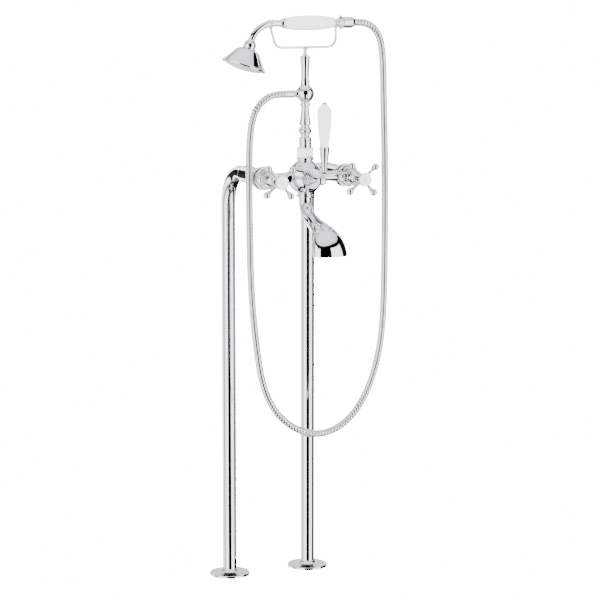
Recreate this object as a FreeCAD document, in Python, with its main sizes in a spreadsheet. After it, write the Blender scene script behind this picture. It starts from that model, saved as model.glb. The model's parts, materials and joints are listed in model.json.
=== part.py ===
import FreeCAD, Part
import math
import os
import Sketcher
from FreeCAD import Placement, Rotation, Vector

# A floor standing bath filler: two standpipes carry a ball-bodied mixer with two
# cross-handled valves, a lever diverter, a flared spout, and a turned riser whose
# cradle holds a hand shower on a ribbed hose.
#
# The frame: Z is up from the floor, the standpipes stand at X = -/+ half the inlet
# spacing with Y = 0, and the filler faces -Y. The ball, the riser, the hose and the
# hand shower lie in one upright plane ahead of the standpipes.

os.makedirs("parts", exist_ok=True)
doc = FreeCAD.newDocument("bath_filler")

# ---------------------------------------------------------------- driving dimensions
# Millimetres, except the names that end in _angle, which are degrees. A size that ends in
# _forward, _front, _back or _plane is measured along the valves' axes from the piece that
# it follows, as the shared places below say, so that the pieces stay together when one
# size changes. Heights of the riser and the hand shower are chained in the same way.

SIZES = {
    "inlet_spacing": 150.0,
    "body_forward": 28.0,
    "valve_height": 724.5,
    "running_gap": 0.05,
    "seat_gap": 0.1,
    # standpipes and floor
    "pipe_diameter": 25.0,
    "pipe_bore": 22.2,
    "bend_radius": 62.0,
    "pipe_reach": 139.0,
    "plate_diameter": 66.0,
    "plate_thickness": 3.0,
    "plate_hub_diameter": 31.0,
    "plate_hub_height": 5.3,
    "plate_ledge": 2.5,
    "supply_bore": 18.6,
    "plate_hole_offset": 17.0,
    "plate_hole_diameter": 5.5,
    "cover_diameter": 71.5,
    "cover_edge": 4.5,
    "cover_crown": 7.5,
    "cover_neck_diameter": 28.6,
    "cover_neck_height": 11.5,
    "cover_wall": 1.2,
    "cover_screw_reach": 28.3,
    "cover_screw_angle": 193.0,
    "cover_screw_diameter": 3.0,
    "cover_screw_head": 5.4,
    # unions behind the valves
    "ferrule_diameter": 26.0,
    "ferrule_length": 3.0,
    "washer_thickness": 2.0,
    "tail_diameter": 26.4,
    "tail_bore": 16.0,
    "sleeve_diameter": 30.5,
    "sleeve_length": 74.0,
    "sleeve_front_gap": 1.0,
    # valve barrels of the mixer body
    "ring_diameter": 40.5,
    "ring_back": 20.0,
    "ring_width": 8.0,
    "barrel_diameter": 34.6,
    "barrel_front": 30.0,
    "chamber_diameter": 25.2,
    "arm_diameter": 17.4,
    "arm_root_diameter": 20.5,
    "arm_bore": 11.0,
    # ball and its bosses
    "ball_diameter": 60.2,
    "ball_bore": 23.2,
    "collar_diameter": 29.7,
    "collar_height": 5.0,
    "top_seat": 28.5,
    "bottom_seat": 29.6,
    "thread_diameter": 18.0,
    "boss_diameter": 33.0,
    "boss_front": 36.0,
    # valve bonnets and what they hold
    "bonnet_corner": 30.4,
    "bonnet_flange": 2.0,
    "bonnet_hex_length": 12.0,
    "bonnet_neck_diameter": 16.6,
    "bonnet_neck_length": 7.0,
    "shell_diameter": 22.0,
    "shell_bore": 18.2,
    "disc_thickness": 3.0,
    "disc_port": 4.4,
    "spindle_diameter": 8.0,
    "spindle_front": 18.0,
    # cross handles
    "handle_back": 2.0,
    "cross_plane": 13.0,
    "cap_front": 39.3,
    "cross_angle": 40.7,
    "cross_reach": 30.5,
    "cross_ball": 12.6,
    "cross_arm_diameter": 6.4,
    "cross_hub_diameter": 18.6,
    "skirt_diameter": 19.6,
    "cap_diameter": 24.0,
    "cap_edge": 3.4,
    "cap_dome": 2.4,
    "cap_plug_diameter": 10.0,
    "handle_screw_diameter": 4.0,
    "handle_screw_head": 8.4,
    # diverter and lever
    "boss_cap_diameter": 31.0,
    "boss_cap_front": 8.5,
    "lever_hub_back": 16.0,
    "lever_hub_front": 24.0,
    "lever_hub_diameter": 17.0,
    "lever_plane": 30.5,
    "lever_stem_diameter": 7.6,
    "lever_stem_start": 15.0,
    "lever_lean_angle": 50.0,
    "ferrule_top": 56.5,
    "ferrule_top_diameter": 17.4,
    "grip_length": 71.0,
    "grip_foot_diameter": 15.0,
    "grip_crown_diameter": 24.4,
    "button_diameter": 9.6,
    "rod_diameter": 5.0,
    # riser
    "nut_corner": 31.2,
    "nut_height": 16.0,
    "riser_barrel_diameter": 22.0,
    "riser_barrel_height": 17.5,
    "riser_bead_diameter": 22.2,
    "riser_groove_diameter": 15.0,
    "riser_groove_height": 4.5,
    "riser_bead_height": 13.0,
    "riser_cone_height": 31.6,
    "riser_ring_height": 5.8,
    "riser_collar_drop": 15.1,
    "riser_cone_diameter": 21.4,
    "riser_waist_diameter": 14.1,
    "riser_ring_diameter": 18.2,
    "sphere_diameter": 31.0,
    "sphere_height": 63.2,
    "riser_throat_diameter": 11.0,
    "riser_mouth_diameter": 15.6,
    "riser_top": 14.3,
    "riser_bore": 10.0,
    # hose outlet on the riser's sphere
    "outlet_reach": 23.0,
    "outlet_diameter": 13.4,
    "outlet_thread": 9.6,
    "hose_nut_diameter": 13.2,
    "hose_nut_length": 15.5,
    # cradle
    "cradle_rod_diameter": 4.6,
    "cradle_bar_drop": 40.5,
    "cradle_left": 62.0,
    "cradle_right": 56.0,
    "cradle_lean_angle": 15.5,
    "cradle_corner": 15.0,
    "fork_rod_diameter": 3.6,
    "fork_gap": 0.4,
    "fork_prong": 6.0,
    "cradle_stem_diameter": 7.0,
    # spout
    "spout_neck_diameter": 22.4,
    "spout_wall": 2.0,
    "spout_mouth_width": 60.0,
    "spout_mouth_depth": 34.0,
    "spout_reach": 108.0,
    "spout_drop": 122.0,
    # hose
    "hose_diameter": 12.7,
    "hose_bore": 8.0,
    "hose_rib_depth": 0.9,
    # hand shower
    "handset_height": 258.5,
    "grip_left": 37.5,
    "grip_right": 51.5,
    "handset_grip_diameter": 25.6,
    "handset_end_diameter": 18.6,
    "handset_tube_diameter": 9.0,
    "neck_diameter": 11.5,
    "neck_bore": 8.0,
    "neck_straight": 21.0,
    "neck_radius": 40.0,
    "head_angle": 18.7,
    "neck_ferrule_length": 6.5,
    "knuckle_diameter": 22.0,
    "knuckle_height": 15.0,
    "bell_shoulder_diameter": 40.0,
    "bell_rim_diameter": 75.5,
    "bell_height": 31.0,
    "bell_wall": 1.6,
    "face_thickness": 2.8,
    "face_bulge": 2.0,
    "nozzle_diameter": 1.6,
    "tail_neck_diameter": 12.3,
    "trumpet_diameter": 24.4,
    "end_nut_diameter": 19.5,
}

sheet = doc.addObject("Spreadsheet::Sheet", "Sizes")
for row, (alias, number) in enumerate(SIZES.items(), start=1):
    sheet.set(f"A{row}", alias)
    sheet.set(f"B{row}", str(number))
    sheet.setAlias(f"B{row}", alias)
doc.recompute()


class Size:
    """A number with the sheet expression that gives it, so that features can be bound to it."""

    def __init__(self, number, text):
        self.number = float(number)
        self.text = text

    def __add__(self, other):
        other = sized(other)
        return Size(self.number + other.number, f"({self.text} + {other.text})")

    def __sub__(self, other):
        other = sized(other)
        return Size(self.number - other.number, f"({self.text} - {other.text})")

    def __mul__(self, other):
        other = sized(other)
        return Size(self.number * other.number, f"({self.text} * {other.text})")

    def __truediv__(self, other):
        other = sized(other)
        return Size(self.number / other.number, f"({self.text} / {other.text})")

    def __neg__(self):
        return Size(-self.number, f"(0 - {self.text})")

    __radd__ = __add__
    __rmul__ = __mul__

    def __rsub__(self, other):
        return sized(other) - self


def sized(value):
    return value if isinstance(value, Size) else Size(value, repr(float(value)))


def size(alias):
    return Size(sheet.get(alias), f"Sizes.{alias}")


def cosine(angle):
    return Size(math.cos(math.radians(angle.number)), f"cos({angle.text} * 1 deg)")


def sine(angle):
    return Size(math.sin(math.radians(angle.number)), f"sin({angle.text} * 1 deg)")


def tangent(angle):
    return Size(math.tan(math.radians(angle.number)), f"tan({angle.text} * 1 deg)")


# ---------------------------------------------------------------- helpers

UP = Rotation()
DOWN = Rotation(Vector(1, 0, 0), 180)
FORWARD = Rotation(Vector(1, 0, 0), 90)
LEFTWARD = Rotation(Vector(0, 1, 0), -90)
RIGHTWARD = Rotation(Vector(0, 1, 0), 90)
QUARTER = math.tan(math.radians(90 / 4))
ROUND = math.tan(math.radians(60 / 4))
SOFT = math.tan(math.radians(30 / 4))
PIECES = {}


def bind(item, path, value):
    """Ties one property of an object to the sheet."""
    item.setExpression(path, sized(value).text)


def put(item, x, y, z, rotation=UP):
    """Places an object and ties its position to the sheet."""
    spot = [sized(x), sized(y), sized(z)]
    item.Placement = Placement(Vector(*(value.number for value in spot)), rotation)
    for letter, value in zip("xyz", spot):
        bind(item, f"Placement.Base.{letter}", value)
    return item


def piece(item, label):
    """Registers a finished sub-part under its own label."""
    item.Label = label
    PIECES[label] = item
    return item


def plane_of(body, role):
    return next(item for item in body.Origin.OriginFeatures if item.Role == role)


def new_sketch(body, name, role):
    sketch = body.newObject("Sketcher::SketchObject", name)
    sketch.AttachmentSupport = [(plane_of(body, role), "")]
    sketch.MapMode = "FlatFace"
    return sketch


def pin_corner(sketch, edge, end, across, along):
    """Fixes one end of an edge at a place given by two sizes."""
    for kind, value, axis in (("DistanceX", across, -2), ("DistanceY", along, -1)):
        if value.number == 0:
            sketch.addConstraint(Sketcher.Constraint("PointOnObject", edge, end, axis))
        else:
            rule = Sketcher.Constraint(kind, -1, 1, edge, end, value.number)
            bind(sketch, f"Constraints[{sketch.addConstraint(rule)}]", value)


def draw(sketch, outline, closed=True):
    """Draws an outline of (across, along[, bulge]) corners. A bulge bends the side that
    leaves its corner: it is the tangent of a quarter of the side's turn, positive when
    the side turns anticlockwise."""
    corners = [(sized(c[0]), sized(c[1]), c[2] if len(c) > 2 else 0.0) for c in outline]
    count = len(corners) if closed else len(corners) - 1
    ends = []
    for number in range(count):
        across, along, bulge = corners[number]
        next_across, next_along, _ = corners[(number + 1) % len(corners)]
        start = Vector(across.number, along.number, 0)
        stop = Vector(next_across.number, next_along.number, 0)
        if bulge == 0:
            edge = sketch.addGeometry(Part.LineSegment(start, stop), False)
            ends.append((edge, 1, 2))
            continue
        reach = (1 - bulge * bulge) / (4 * bulge)
        centre_across = (across + next_across) / 2 - (next_along - along) * reach
        centre_along = (along + next_along) / 2 + (next_across - across) * reach
        centre = Vector(centre_across.number, centre_along.number, 0)
        first, last = (start, stop) if bulge > 0 else (stop, start)
        from_angle = math.atan2(first.y - centre.y, first.x - centre.x)
        to_angle = math.atan2(last.y - centre.y, last.x - centre.x)
        if to_angle <= from_angle:
            to_angle += 2 * math.pi
        circle = Part.Circle(centre, Vector(0, 0, 1), (first - centre).Length)
        edge = sketch.addGeometry(Part.ArcOfCircle(circle, from_angle, to_angle), False)
        ends.append((edge, 1, 2) if bulge > 0 else (edge, 2, 1))
        flat = abs(stop.x - start.x) >= abs(stop.y - start.y)
        kind, value = ("DistanceY", centre_along) if flat else ("DistanceX", centre_across)
        if abs(value.number) < 1e-9:
            axis = -1 if flat else -2
            sketch.addConstraint(Sketcher.Constraint("PointOnObject", edge, 3, axis))
        else:
            rule = Sketcher.Constraint(kind, -1, 1, edge, 3, value.number)
            bind(sketch, f"Constraints[{sketch.addConstraint(rule)}]", value)
    for number in range(count - (0 if closed else 1)):
        edge, _, stop_end = ends[number]
        next_edge, start_end, _ = ends[(number + 1) % count]
        rule = Sketcher.Constraint("Coincident", edge, stop_end, next_edge, start_end)
        sketch.addConstraint(rule)
    for number, (edge, start_end, _) in enumerate(ends):
        pin_corner(sketch, edge, start_end, corners[number][0], corners[number][1])
    if not closed:
        edge, _, stop_end = ends[-1]
        pin_corner(sketch, edge, stop_end, corners[-1][0], corners[-1][1])


def dome(across, rise):
    """The bulge of a side that meets the turning axis square, as a dome's crown does."""
    return math.tan(math.atan2(sized(rise).number, sized(across).number) / 2)


def circle_sketch(body, name, role, radii):
    """A sketch of circles about its own origin."""
    sketch = new_sketch(body, name, role)
    for radius in radii:
        radius = sized(radius)
        edge = sketch.addGeometry(Part.Circle(Vector(), Vector(0, 0, 1), radius.number), False)
        sketch.addConstraint(Sketcher.Constraint("Coincident", edge, 3, -1, 1))
        rule = Sketcher.Constraint("Radius", edge, radius.number)
        bind(sketch, f"Constraints[{sketch.addConstraint(rule)}]", radius)
    return sketch


def turned(name, outline):
    """A body turned about its own Z axis from an outline of (radius, height) corners."""
    body = doc.addObject("PartDesign::Body", name)
    sketch = new_sketch(body, f"{name}_outline", "XZ_Plane")
    draw(sketch, outline)
    lathe = body.newObject("PartDesign::Revolution", f"{name}_turning")
    lathe.Profile = sketch
    lathe.ReferenceAxis = (sketch, ["V_Axis"])
    lathe.Angle = 360
    sketch.Visibility = False
    return body


def piped(name, radii, route):
    """A body swept from circles about its origin along a route in its XZ plane that
    leaves the origin along +X."""
    body = doc.addObject("PartDesign::Body", name)
    section = circle_sketch(body, f"{name}_section", "YZ_Plane", radii)
    spine = new_sketch(body, f"{name}_route", "XZ_Plane")
    draw(spine, route, closed=False)
    sweep = body.newObject("PartDesign::AdditivePipe", f"{name}_sweep")
    sweep.Profile = section
    sweep.Spine = (spine, [f"Edge{number + 1}" for number in range(len(route) - 1)])
    return body


def cylinder(name, radius, height, x, y, z, rotation=UP):
    rod = doc.addObject("Part::Cylinder", name)
    bind(rod, "Radius", radius)
    bind(rod, "Height", height)
    return put(rod, x, y, z, rotation)


def cone(name, radius, end_radius, height, x, y, z, rotation=UP):
    item = doc.addObject("Part::Cone", name)
    bind(item, "Radius1", radius)
    bind(item, "Radius2", end_radius)
    bind(item, "Height", height)
    return put(item, x, y, z, rotation)


def sphere(name, radius, x, y, z):
    item = doc.addObject("Part::Sphere", name)
    bind(item, "Radius", radius)
    return put(item, x, y, z)


def prism(name, corner_radius, height, x, y, z, rotation=UP):
    item = doc.addObject("Part::Prism", name)
    item.Polygon = 6
    bind(item, "Circumradius", corner_radius)
    bind(item, "Height", height)
    return put(item, x, y, z, rotation)


def cut(name, base, tools):
    item = doc.addObject("Part::Cut", name)
    item.Base = base
    item.Tool = tools[0] if len(tools) == 1 else fuse(f"{name}_tools", tools)
    return item


def fuse(name, shapes):
    item = doc.addObject("Part::MultiFuse", name)
    item.Shapes = shapes
    return item


def common(name, shapes):
    item = doc.addObject("Part::MultiCommon", name)
    item.Shapes = shapes
    return item


# ---------------------------------------------------------------- shared places

half_spacing = size("inlet_spacing") / 2
pipe_radius = size("pipe_diameter") / 2
gap = size("seat_gap")
running = size("running_gap")
valve_z = size("valve_height")

# stations along the valves' axes, measured ahead of the standpipes
pipe_station = size("pipe_reach")
body_station = pipe_station + size("body_forward")
ring_station = pipe_station + size("ring_back")
barrel_station = ring_station + size("barrel_front")
bonnet_station = barrel_station + size("bonnet_flange")
neck_station = bonnet_station + size("bonnet_hex_length") + size("bonnet_neck_length")
handle_station = neck_station + size("handle_back")
spindle_station = handle_station + size("spindle_front")
cap_station = handle_station + size("cap_front")
cross_station = cap_station - size("cross_plane")
boss_station = body_station + size("boss_front")
boss_cap_station = boss_station + size("boss_cap_front")
hub_back_station = boss_station + size("lever_hub_back")
hub_front_station = hub_back_station + size("lever_hub_front")
lever_station = hub_back_station + size("lever_plane")
stem_station = hub_back_station + size("lever_stem_start")
body_y = -body_station

# heights of the hand shower, the cradle's bar and the riser, each from the one before it
hand_z = valve_z + size("handset_height")
bar_z = hand_z - size("cradle_bar_drop")
riser_top = bar_z - size("riser_top")
sphere_z = riser_top - size("sphere_height")
SIDES = (("hot", "left", -half_spacing, -1), ("cold", "right", half_spacing, 1))


def valve_place(item, x, forward, turn=0.0):
    """Sets a turned piece on a valve's axis, its Z towards the front."""
    return put(item, x, -forward, valve_z, FORWARD * Rotation(Vector(0, 0, 1), turn))


# ---------------------------------------------------------------- floor plates and covers

def floor_plate(label, x):
    """A plate with a socket that the standpipe stands in, and its floor screw holes."""
    plate_radius = size("plate_diameter") / 2
    hub_radius = size("plate_hub_diameter") / 2
    hub_top = size("plate_hub_height")
    socket = pipe_radius + running
    outline = [
        (size("supply_bore") / 2, 0),
        (plate_radius, 0),
        (plate_radius, size("plate_thickness")),
        (hub_radius, size("plate_thickness")),
        (hub_radius, hub_top),
        (socket, hub_top),
        (socket, size("plate_ledge")),
        (size("supply_bore") / 2, size("plate_ledge")),
    ]
    base = put(turned(f"{label}_base", outline), x, 0, 0)
    offset = size("plate_hole_offset")
    holes = []
    for across in (-1, 1):
        for along in (-1, 1):
            name = f"{label}_hole_{len(holes)}"
            radius = size("plate_hole_diameter") / 2
            holes.append(cylinder(name, radius, hub_top, x + offset * across, offset * along, 0))
    screw_x, screw_y = cover_screw_spot(x)
    tapped = size("cover_screw_diameter") / 2 + running
    holes.append(cylinder(f"{label}_tapping", tapped, hub_top, screw_x, screw_y, 0))
    return piece(cut(label, base, holes), label)


def cover_screw_spot(x):
    reach = size("cover_screw_reach")
    angle = size("cover_screw_angle")
    return x + reach * cosine(angle), reach * sine(angle)


def floor_cover(label, x):
    """The domed cover that hides the plate, with a small flared neck round the pipe."""
    rim = size("cover_diameter") / 2
    wall = size("cover_wall")
    neck = size("cover_neck_diameter") / 2
    crown = size("cover_crown")
    throat = pipe_radius + gap * 2
    outline = [
        (rim - wall, 0),
        (rim, 0),
        (rim, size("cover_edge") - 1, QUARTER),
        (rim - 1, size("cover_edge")),
        (neck + 3, crown, -SOFT),
        (neck, size("cover_neck_height") - 0.6),
        (neck - 0.6, size("cover_neck_height")),
        (throat, size("cover_neck_height")),
        (throat, crown),
        (size("plate_hub_diameter") / 2 + 0.8, crown - wall),
        (rim - wall, size("cover_edge") - wall),
    ]
    base = put(turned(f"{label}_shell", outline), x, 0, 0)
    screw_x, screw_y = cover_screw_spot(x)
    head = size("cover_screw_head") / 2
    hole = cylinder(f"{label}_hole", head + gap, crown, screw_x, screw_y, 0)
    return piece(cut(label, base, [hole]), label)


def cover_screw(label, x):
    """The little screw that holds the cover to the plate."""
    shank = size("cover_screw_diameter") / 2
    head = size("cover_screw_head") / 2
    top = size("cover_edge") + 1.1
    under = size("plate_thickness") + 0.1
    outline = [
        (0, 0.4),
        (shank, 0.4),
        (shank, under),
        (head, under),
        (head, top - 0.4),
        (head - 0.4, top),
        (0, top),
    ]
    screw_x, screw_y = cover_screw_spot(x)
    base = put(turned(f"{label}_blank", outline), screw_x, screw_y, 0)
    slot = prism(f"{label}_socket", 1.2, 2, screw_x, screw_y, top - 1.4)
    return piece(cut(label, base, [slot]), label)


# ---------------------------------------------------------------- standpipes and unions

def standpipe(label, x):
    """A pipe that rises from the floor and bends forward to its valve."""
    bend = size("bend_radius")
    level = pipe_station - bend
    drop = valve_z - bend - size("plate_ledge")
    route = [(0, 0), (level, 0, -QUARTER), (level + bend, -bend), (level + bend, -bend - drop)]
    pipe = piped(label, [pipe_radius, size("pipe_bore") / 2], route)
    put(pipe, x, -pipe_station, valve_z, Rotation(Vector(0, 0, 1), 90))
    return piece(pipe, label)


def pipe_ferrule(label, x):
    """The ring brazed round the pipe's end that its union sleeve pulls on."""
    outer = size("ferrule_diameter") / 2
    length = size("ferrule_length")
    inner = pipe_radius + running
    outline = [(inner, 0), (outer, 0), (outer, length), (inner, length)]
    return piece(valve_place(turned(label, outline), x, pipe_station - length), label)


def inlet_washer(label, x):
    outer = size("ferrule_diameter") / 2
    inner = size("tail_bore") / 2
    thick = size("washer_thickness")
    outline = [(inner, 0), (outer, 0), (outer, thick), (inner, thick)]
    return piece(valve_place(turned(label, outline), x, pipe_station), label)


def union_sleeve(label, x):
    """The long chrome sleeve nut over the joint between pipe and valve."""
    outer = size("sleeve_diameter") / 2
    length = size("sleeve_length")
    front = ring_station - size("sleeve_front_gap")
    step = pipe_station - size("ferrule_length") - gap - front + length
    small = pipe_radius + gap * 2
    large = size("tail_diameter") / 2 + running
    outline = [
        (small, 0),
        (outer - 1.5, 0, QUARTER),
        (outer, 1.5),
        (outer, length - 0.8),
        (outer - 0.8, length),
        (large, length),
        (large, step),
        (small, step),
    ]
    return piece(valve_place(turned(label, outline), x, front - length), label)


# ---------------------------------------------------------------- mixer body

def barrel_solid(side, x):
    """One valve barrel: threaded tail, big ring, and domed shoulder, all solid."""
    back = pipe_station + size("washer_thickness")
    ring_back = ring_station - back
    ring_front = ring_back + size("ring_width")
    front = barrel_station - back
    tail = size("tail_diameter") / 2
    ring = size("ring_diameter") / 2
    barrel = size("barrel_diameter") / 2
    outline = [
        (0, 0),
        (tail - 0.8, 0),
        (tail, 0.8),
        (tail, ring_back),
        (ring - 2.5, ring_back, QUARTER),
        (ring, ring_back + 2.5),
        (ring, ring_front - 3.2, QUARTER),
        (ring - 3.2, ring_front),
        (barrel, ring_front + 1, SOFT),
        (barrel - 0.6, front - 1.2),
        (barrel - 1.6, front),
        (0, front),
    ]
    return valve_place(turned(f"{side}_barrel", outline), x, back)


def mixer_body():
    """The cast body: ball, arms, valve barrels and the seats for riser, spout and diverter."""
    ball = size("ball_diameter") / 2
    solids = [sphere("ball", ball, 0, body_y, valve_z)]
    hollows = []
    arm_half = half_spacing
    for side, _, x, sign in SIDES:
        heading = RIGHTWARD if sign > 0 else LEFTWARD
        solids.append(barrel_solid(side, x))
        root_radius = size("arm_root_diameter") / 2
        arm_radius = size("arm_diameter") / 2
        root_end = ball + 6
        taper = root_end - ball * 0.8
        solids.append(cone(f"{side}_arm_root", root_radius + 2, arm_radius, taper,
                           ball * 0.8 * sign, body_y, valve_z, heading))
        solids.append(cylinder(f"{side}_arm", arm_radius, arm_half - root_end,
                               root_end * sign, body_y, valve_z, heading))
        hollows.append(cylinder(f"{side}_arm_way", size("arm_bore") / 2, arm_half - 14,
                                sized(sign) * 10, body_y, valve_z, heading))
        back = pipe_station + size("washer_thickness")
        depth = barrel_station - ring_station
        hollows.append(cylinder(f"{side}_inlet_way", size("tail_bore") / 2, depth,
                                x, -back, valve_z, FORWARD))
        hollows.append(cylinder(f"{side}_chamber", size("chamber_diameter") / 2, depth,
                                x, -ring_station, valve_z, FORWARD))
    seat = size("collar_diameter") / 2 - 1.5
    bore = size("thread_diameter") / 2 + running
    for place, height, sign, heading in (("top", size("top_seat"), 1, UP),
                                         ("bottom", size("bottom_seat"), -1, DOWN)):
        solids.append(cylinder(f"{place}_boss", seat, height, 0, body_y, valve_z, heading))
        hollows.append(cylinder(f"{place}_way", bore, height + 1, 0, body_y, valve_z, heading))
        hollows.append(cylinder(f"{place}_flat", seat + 1, ball - height + 1,
                                0, body_y, valve_z + height * sign, heading))
    boss = size("boss_diameter") / 2
    solids.append(cylinder("front_boss", boss, boss_station - body_station,
                           0, body_y, valve_z, FORWARD))
    plug_back = size("ball_bore") * 0.75
    hollows.append(cylinder("plug_way", size("ball_bore") / 2,
                            boss_station - body_station + plug_back,
                            0, body_y + plug_back, valve_z, FORWARD))
    return piece(cut("mixer_body", fuse("mixer_casting", solids), hollows), "mixer_body")


# ---------------------------------------------------------------- valves

def bonnet(label, x):
    """The screwed-in head of a valve: shell round the discs, hexagon, spindle neck."""
    back = ring_station + gap
    front = barrel_station - back
    shell = size("shell_diameter") / 2
    thread = size("chamber_diameter") / 2 - running
    flange = size("barrel_diameter") / 2 - 3.2
    neck = size("bonnet_neck_diameter") / 2
    hexagon = size("bonnet_hex_length")
    flange_front = bonnet_station - back
    hex_front = flange_front + hexagon
    neck_front = hex_front + size("bonnet_neck_length")
    shell_bore = size("shell_bore") / 2
    shell_depth = size("disc_thickness") * 2 + 9
    spindle_bore = size("spindle_diameter") / 2 + running
    outline = [
        (shell_bore, 0),
        (shell, 0),
        (shell, front - 13),
        (thread, front - 12),
        (thread, front),
        (flange, front),
        (flange, flange_front - 0.6),
        (flange - 0.6, flange_front),
        (neck + 2, flange_front),
        (neck + 2, hex_front),
        (neck, hex_front + 1.2),
        (neck, neck_front - 0.8),
        (neck - 0.8, neck_front),
        (spindle_bore, neck_front),
        (spindle_bore, shell_depth),
        (shell_bore, shell_depth),
    ]
    turning = valve_place(turned(f"{label}_turning", outline), x, back)
    corner = size("bonnet_corner") / 2
    blank = valve_place(prism(f"{label}_hex_blank", corner, hexagon, 0, 0, 0), x,
                        back + flange_front, 30)
    chamfer = [
        (neck, 0),
        (corner - 1.6, 0),
        (corner, 1),
        (corner, hexagon - 1),
        (corner - 1.6, hexagon),
        (neck, hexagon),
    ]
    limit = valve_place(turned(f"{label}_hex_limit", chamfer), x, back + flange_front)
    hexed = common(f"{label}_hex", [blank, limit])
    window = size("disc_thickness") * 2 + 4
    ways = []
    for number, heading in enumerate((LEFTWARD, RIGHTWARD, UP, DOWN)):
        ways.append(cylinder(f"{label}_window_{number}", 2.6, shell + 1,
                             x, -(back + window), valve_z, heading))
    return piece(cut(label, fuse(f"{label}_solid", [turning, hexed]), ways), label)


def ceramic_disc(label, x, order, turn):
    """A flat valve disc with two ports; order 0 is fixed, order 1 turns against it."""
    thick = size("disc_thickness") - gap
    radius = size("shell_bore") / 2 - gap
    base = valve_place(turned(f"{label}_blank", [(0, 0), (radius, 0), (radius, thick), (0, thick)]),
                       x, ring_station + gap * 2 + size("disc_thickness") * order)
    ports = []
    for sign in (-1, 1):
        reach = size("shell_bore") / 4
        across = reach * sign if turn == 0 else sized(0)
        above = sized(0) if turn == 0 else reach * sign
        ports.append(cylinder(f"{label}_port_{len(ports)}", size("disc_port") / 2,
                              size("disc_thickness") * 2, x + across,
                              -(ring_station + size("disc_thickness") * (order - 0.5)),
                              valve_z + above, FORWARD))
    return piece(cut(label, base, ports), label)


def spindle(label, x):
    """The spindle, from its foot on the turning disc to the handle's socket."""
    back = ring_station + gap * 2 + size("disc_thickness") * 2
    front = spindle_station - back
    radius = size("spindle_diameter") / 2
    seal = barrel_station + size("bonnet_hex_length") - back
    tapped = size("handle_screw_diameter") / 2 + running
    outline = [
        (0, 0),
        (radius + 2, 0),
        (radius + 2, 2),
        (radius - 1, 2.6),
        (radius - 1, 8),
        (radius, 9),
        (radius, seal),
        (radius - 1, seal),
        (radius - 1, seal + 2.4),
        (radius, seal + 2.4),
        (radius, front - 0.5),
        (radius - 0.5, front),
        (tapped, front),
        (tapped, front - 9),
        (0, front - 9),
    ]
    return piece(valve_place(turned(label, outline), x, back), label)


def spindle_seal(label, x):
    """The rubber ring in the spindle's groove."""
    radius = size("spindle_diameter") / 2
    outline = [
        (radius - 0.95, 0),
        (radius + 0.02, 0),
        (radius + 0.02, 2.2),
        (radius - 0.95, 2.2),
    ]
    place = barrel_station + size("bonnet_hex_length") + 0.1
    return piece(valve_place(turned(label, outline), x, place), label)


def cross_handle(label, x):
    """A hub with a bell-shaped skirt and four arms that end in balls. Its own heights are
    measured from the plane of the arms."""
    plane = cross_station
    back = handle_station - plane
    front = cap_station - size("cap_edge") - size("cap_dome") - plane
    skirt = size("skirt_diameter") / 2
    hub = size("cross_hub_diameter") / 2
    socket = size("spindle_diameter") / 2 + running
    depth = spindle_station - plane + gap
    screw = size("handle_screw_diameter") / 2 + gap
    recess = size("cap_plug_diameter") / 2 + gap
    floor = front - 5
    outline = [
        (socket, back),
        (skirt, back),
        (skirt, back + 2, -ROUND),
        (skirt - 3, back + 8),
        (skirt - 3, sized(-8.5), -SOFT),
        (hub, sized(-4.6)),
        (hub, 4.6),
        (hub - 1.2, front),
        (recess, front),
        (recess, floor),
        (screw, floor),
        (screw, depth),
        (socket, depth),
    ]
    body = turned(label, outline)
    reach = size("cross_reach")
    ball = size("cross_ball") / 2
    arm = size("cross_arm_diameter") / 2
    collar = reach - ball - 1.2
    arm_sketch = new_sketch(body, f"{label}_arm_outline", "XZ_Plane")
    draw(arm_sketch, [
        (hub - 1.5, 0),
        (hub - 1.5, arm),
        (collar, arm * 0.8),
        (collar, arm * 1.25),
        (collar + 1.6, arm * 1.25),
        (collar + 1.6, 0),
    ])
    ball_sketch = new_sketch(body, f"{label}_ball_outline", "XZ_Plane")
    draw(ball_sketch, [(reach + ball, 0, 1.0), (reach - ball, 0)])
    turnings = []
    for part_name, sketch in (("arm", arm_sketch), ("ball", ball_sketch)):
        turning = body.newObject("PartDesign::Revolution", f"{label}_{part_name}")
        turning.Profile = sketch
        turning.ReferenceAxis = (sketch, ["H_Axis"])
        turning.Angle = 360
        turnings.append(turning)
    arms = body.newObject("PartDesign::PolarPattern", f"{label}_arms")
    arms.Originals = turnings
    arms.Axis = (plane_of(body, "Z_Axis"), [""])
    arms.Angle = 360
    arms.Occurrences = 4
    body.Tip = arms
    angle = size("cross_angle").number
    return piece(valve_place(body, x, plane, angle), label)


def index_cap(label, x):
    """The domed porcelain button in the middle of a cross handle."""
    radius = size("cap_diameter") / 2
    edge = size("cap_edge")
    rise = size("cap_dome")
    plug = size("cap_plug_diameter") / 2
    outline = [
        (0, -3),
        (plug, -3),
        (plug, 0),
        (radius - 0.8, 0),
        (radius, 0.8),
        (radius, edge - 0.6, QUARTER),
        (radius - 1.6, edge + 1, dome(radius - 1.6, rise - 1)),
        (0, edge + rise),
    ]
    return piece(valve_place(turned(label, outline), x, cap_station - edge - rise), label)


def handle_screw(label, x):
    """The screw under the cap that holds the handle on its spindle."""
    shank = size("handle_screw_diameter") / 2
    head = size("handle_screw_head") / 2
    seat = cap_station - size("cap_edge") - size("cap_dome") - 5 + running
    tip = spindle_station - 8
    under = seat - tip
    outline = [
        (0, 0),
        (shank - 0.4, 0),
        (shank, 0.4),
        (shank, under),
        (head, under),
        (head, under + 1.3),
        (head - 0.5, under + 1.8),
        (0, under + 1.8),
    ]
    return piece(valve_place(turned(label, outline), x, tip), label)


# ---------------------------------------------------------------- diverter and its lever

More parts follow.
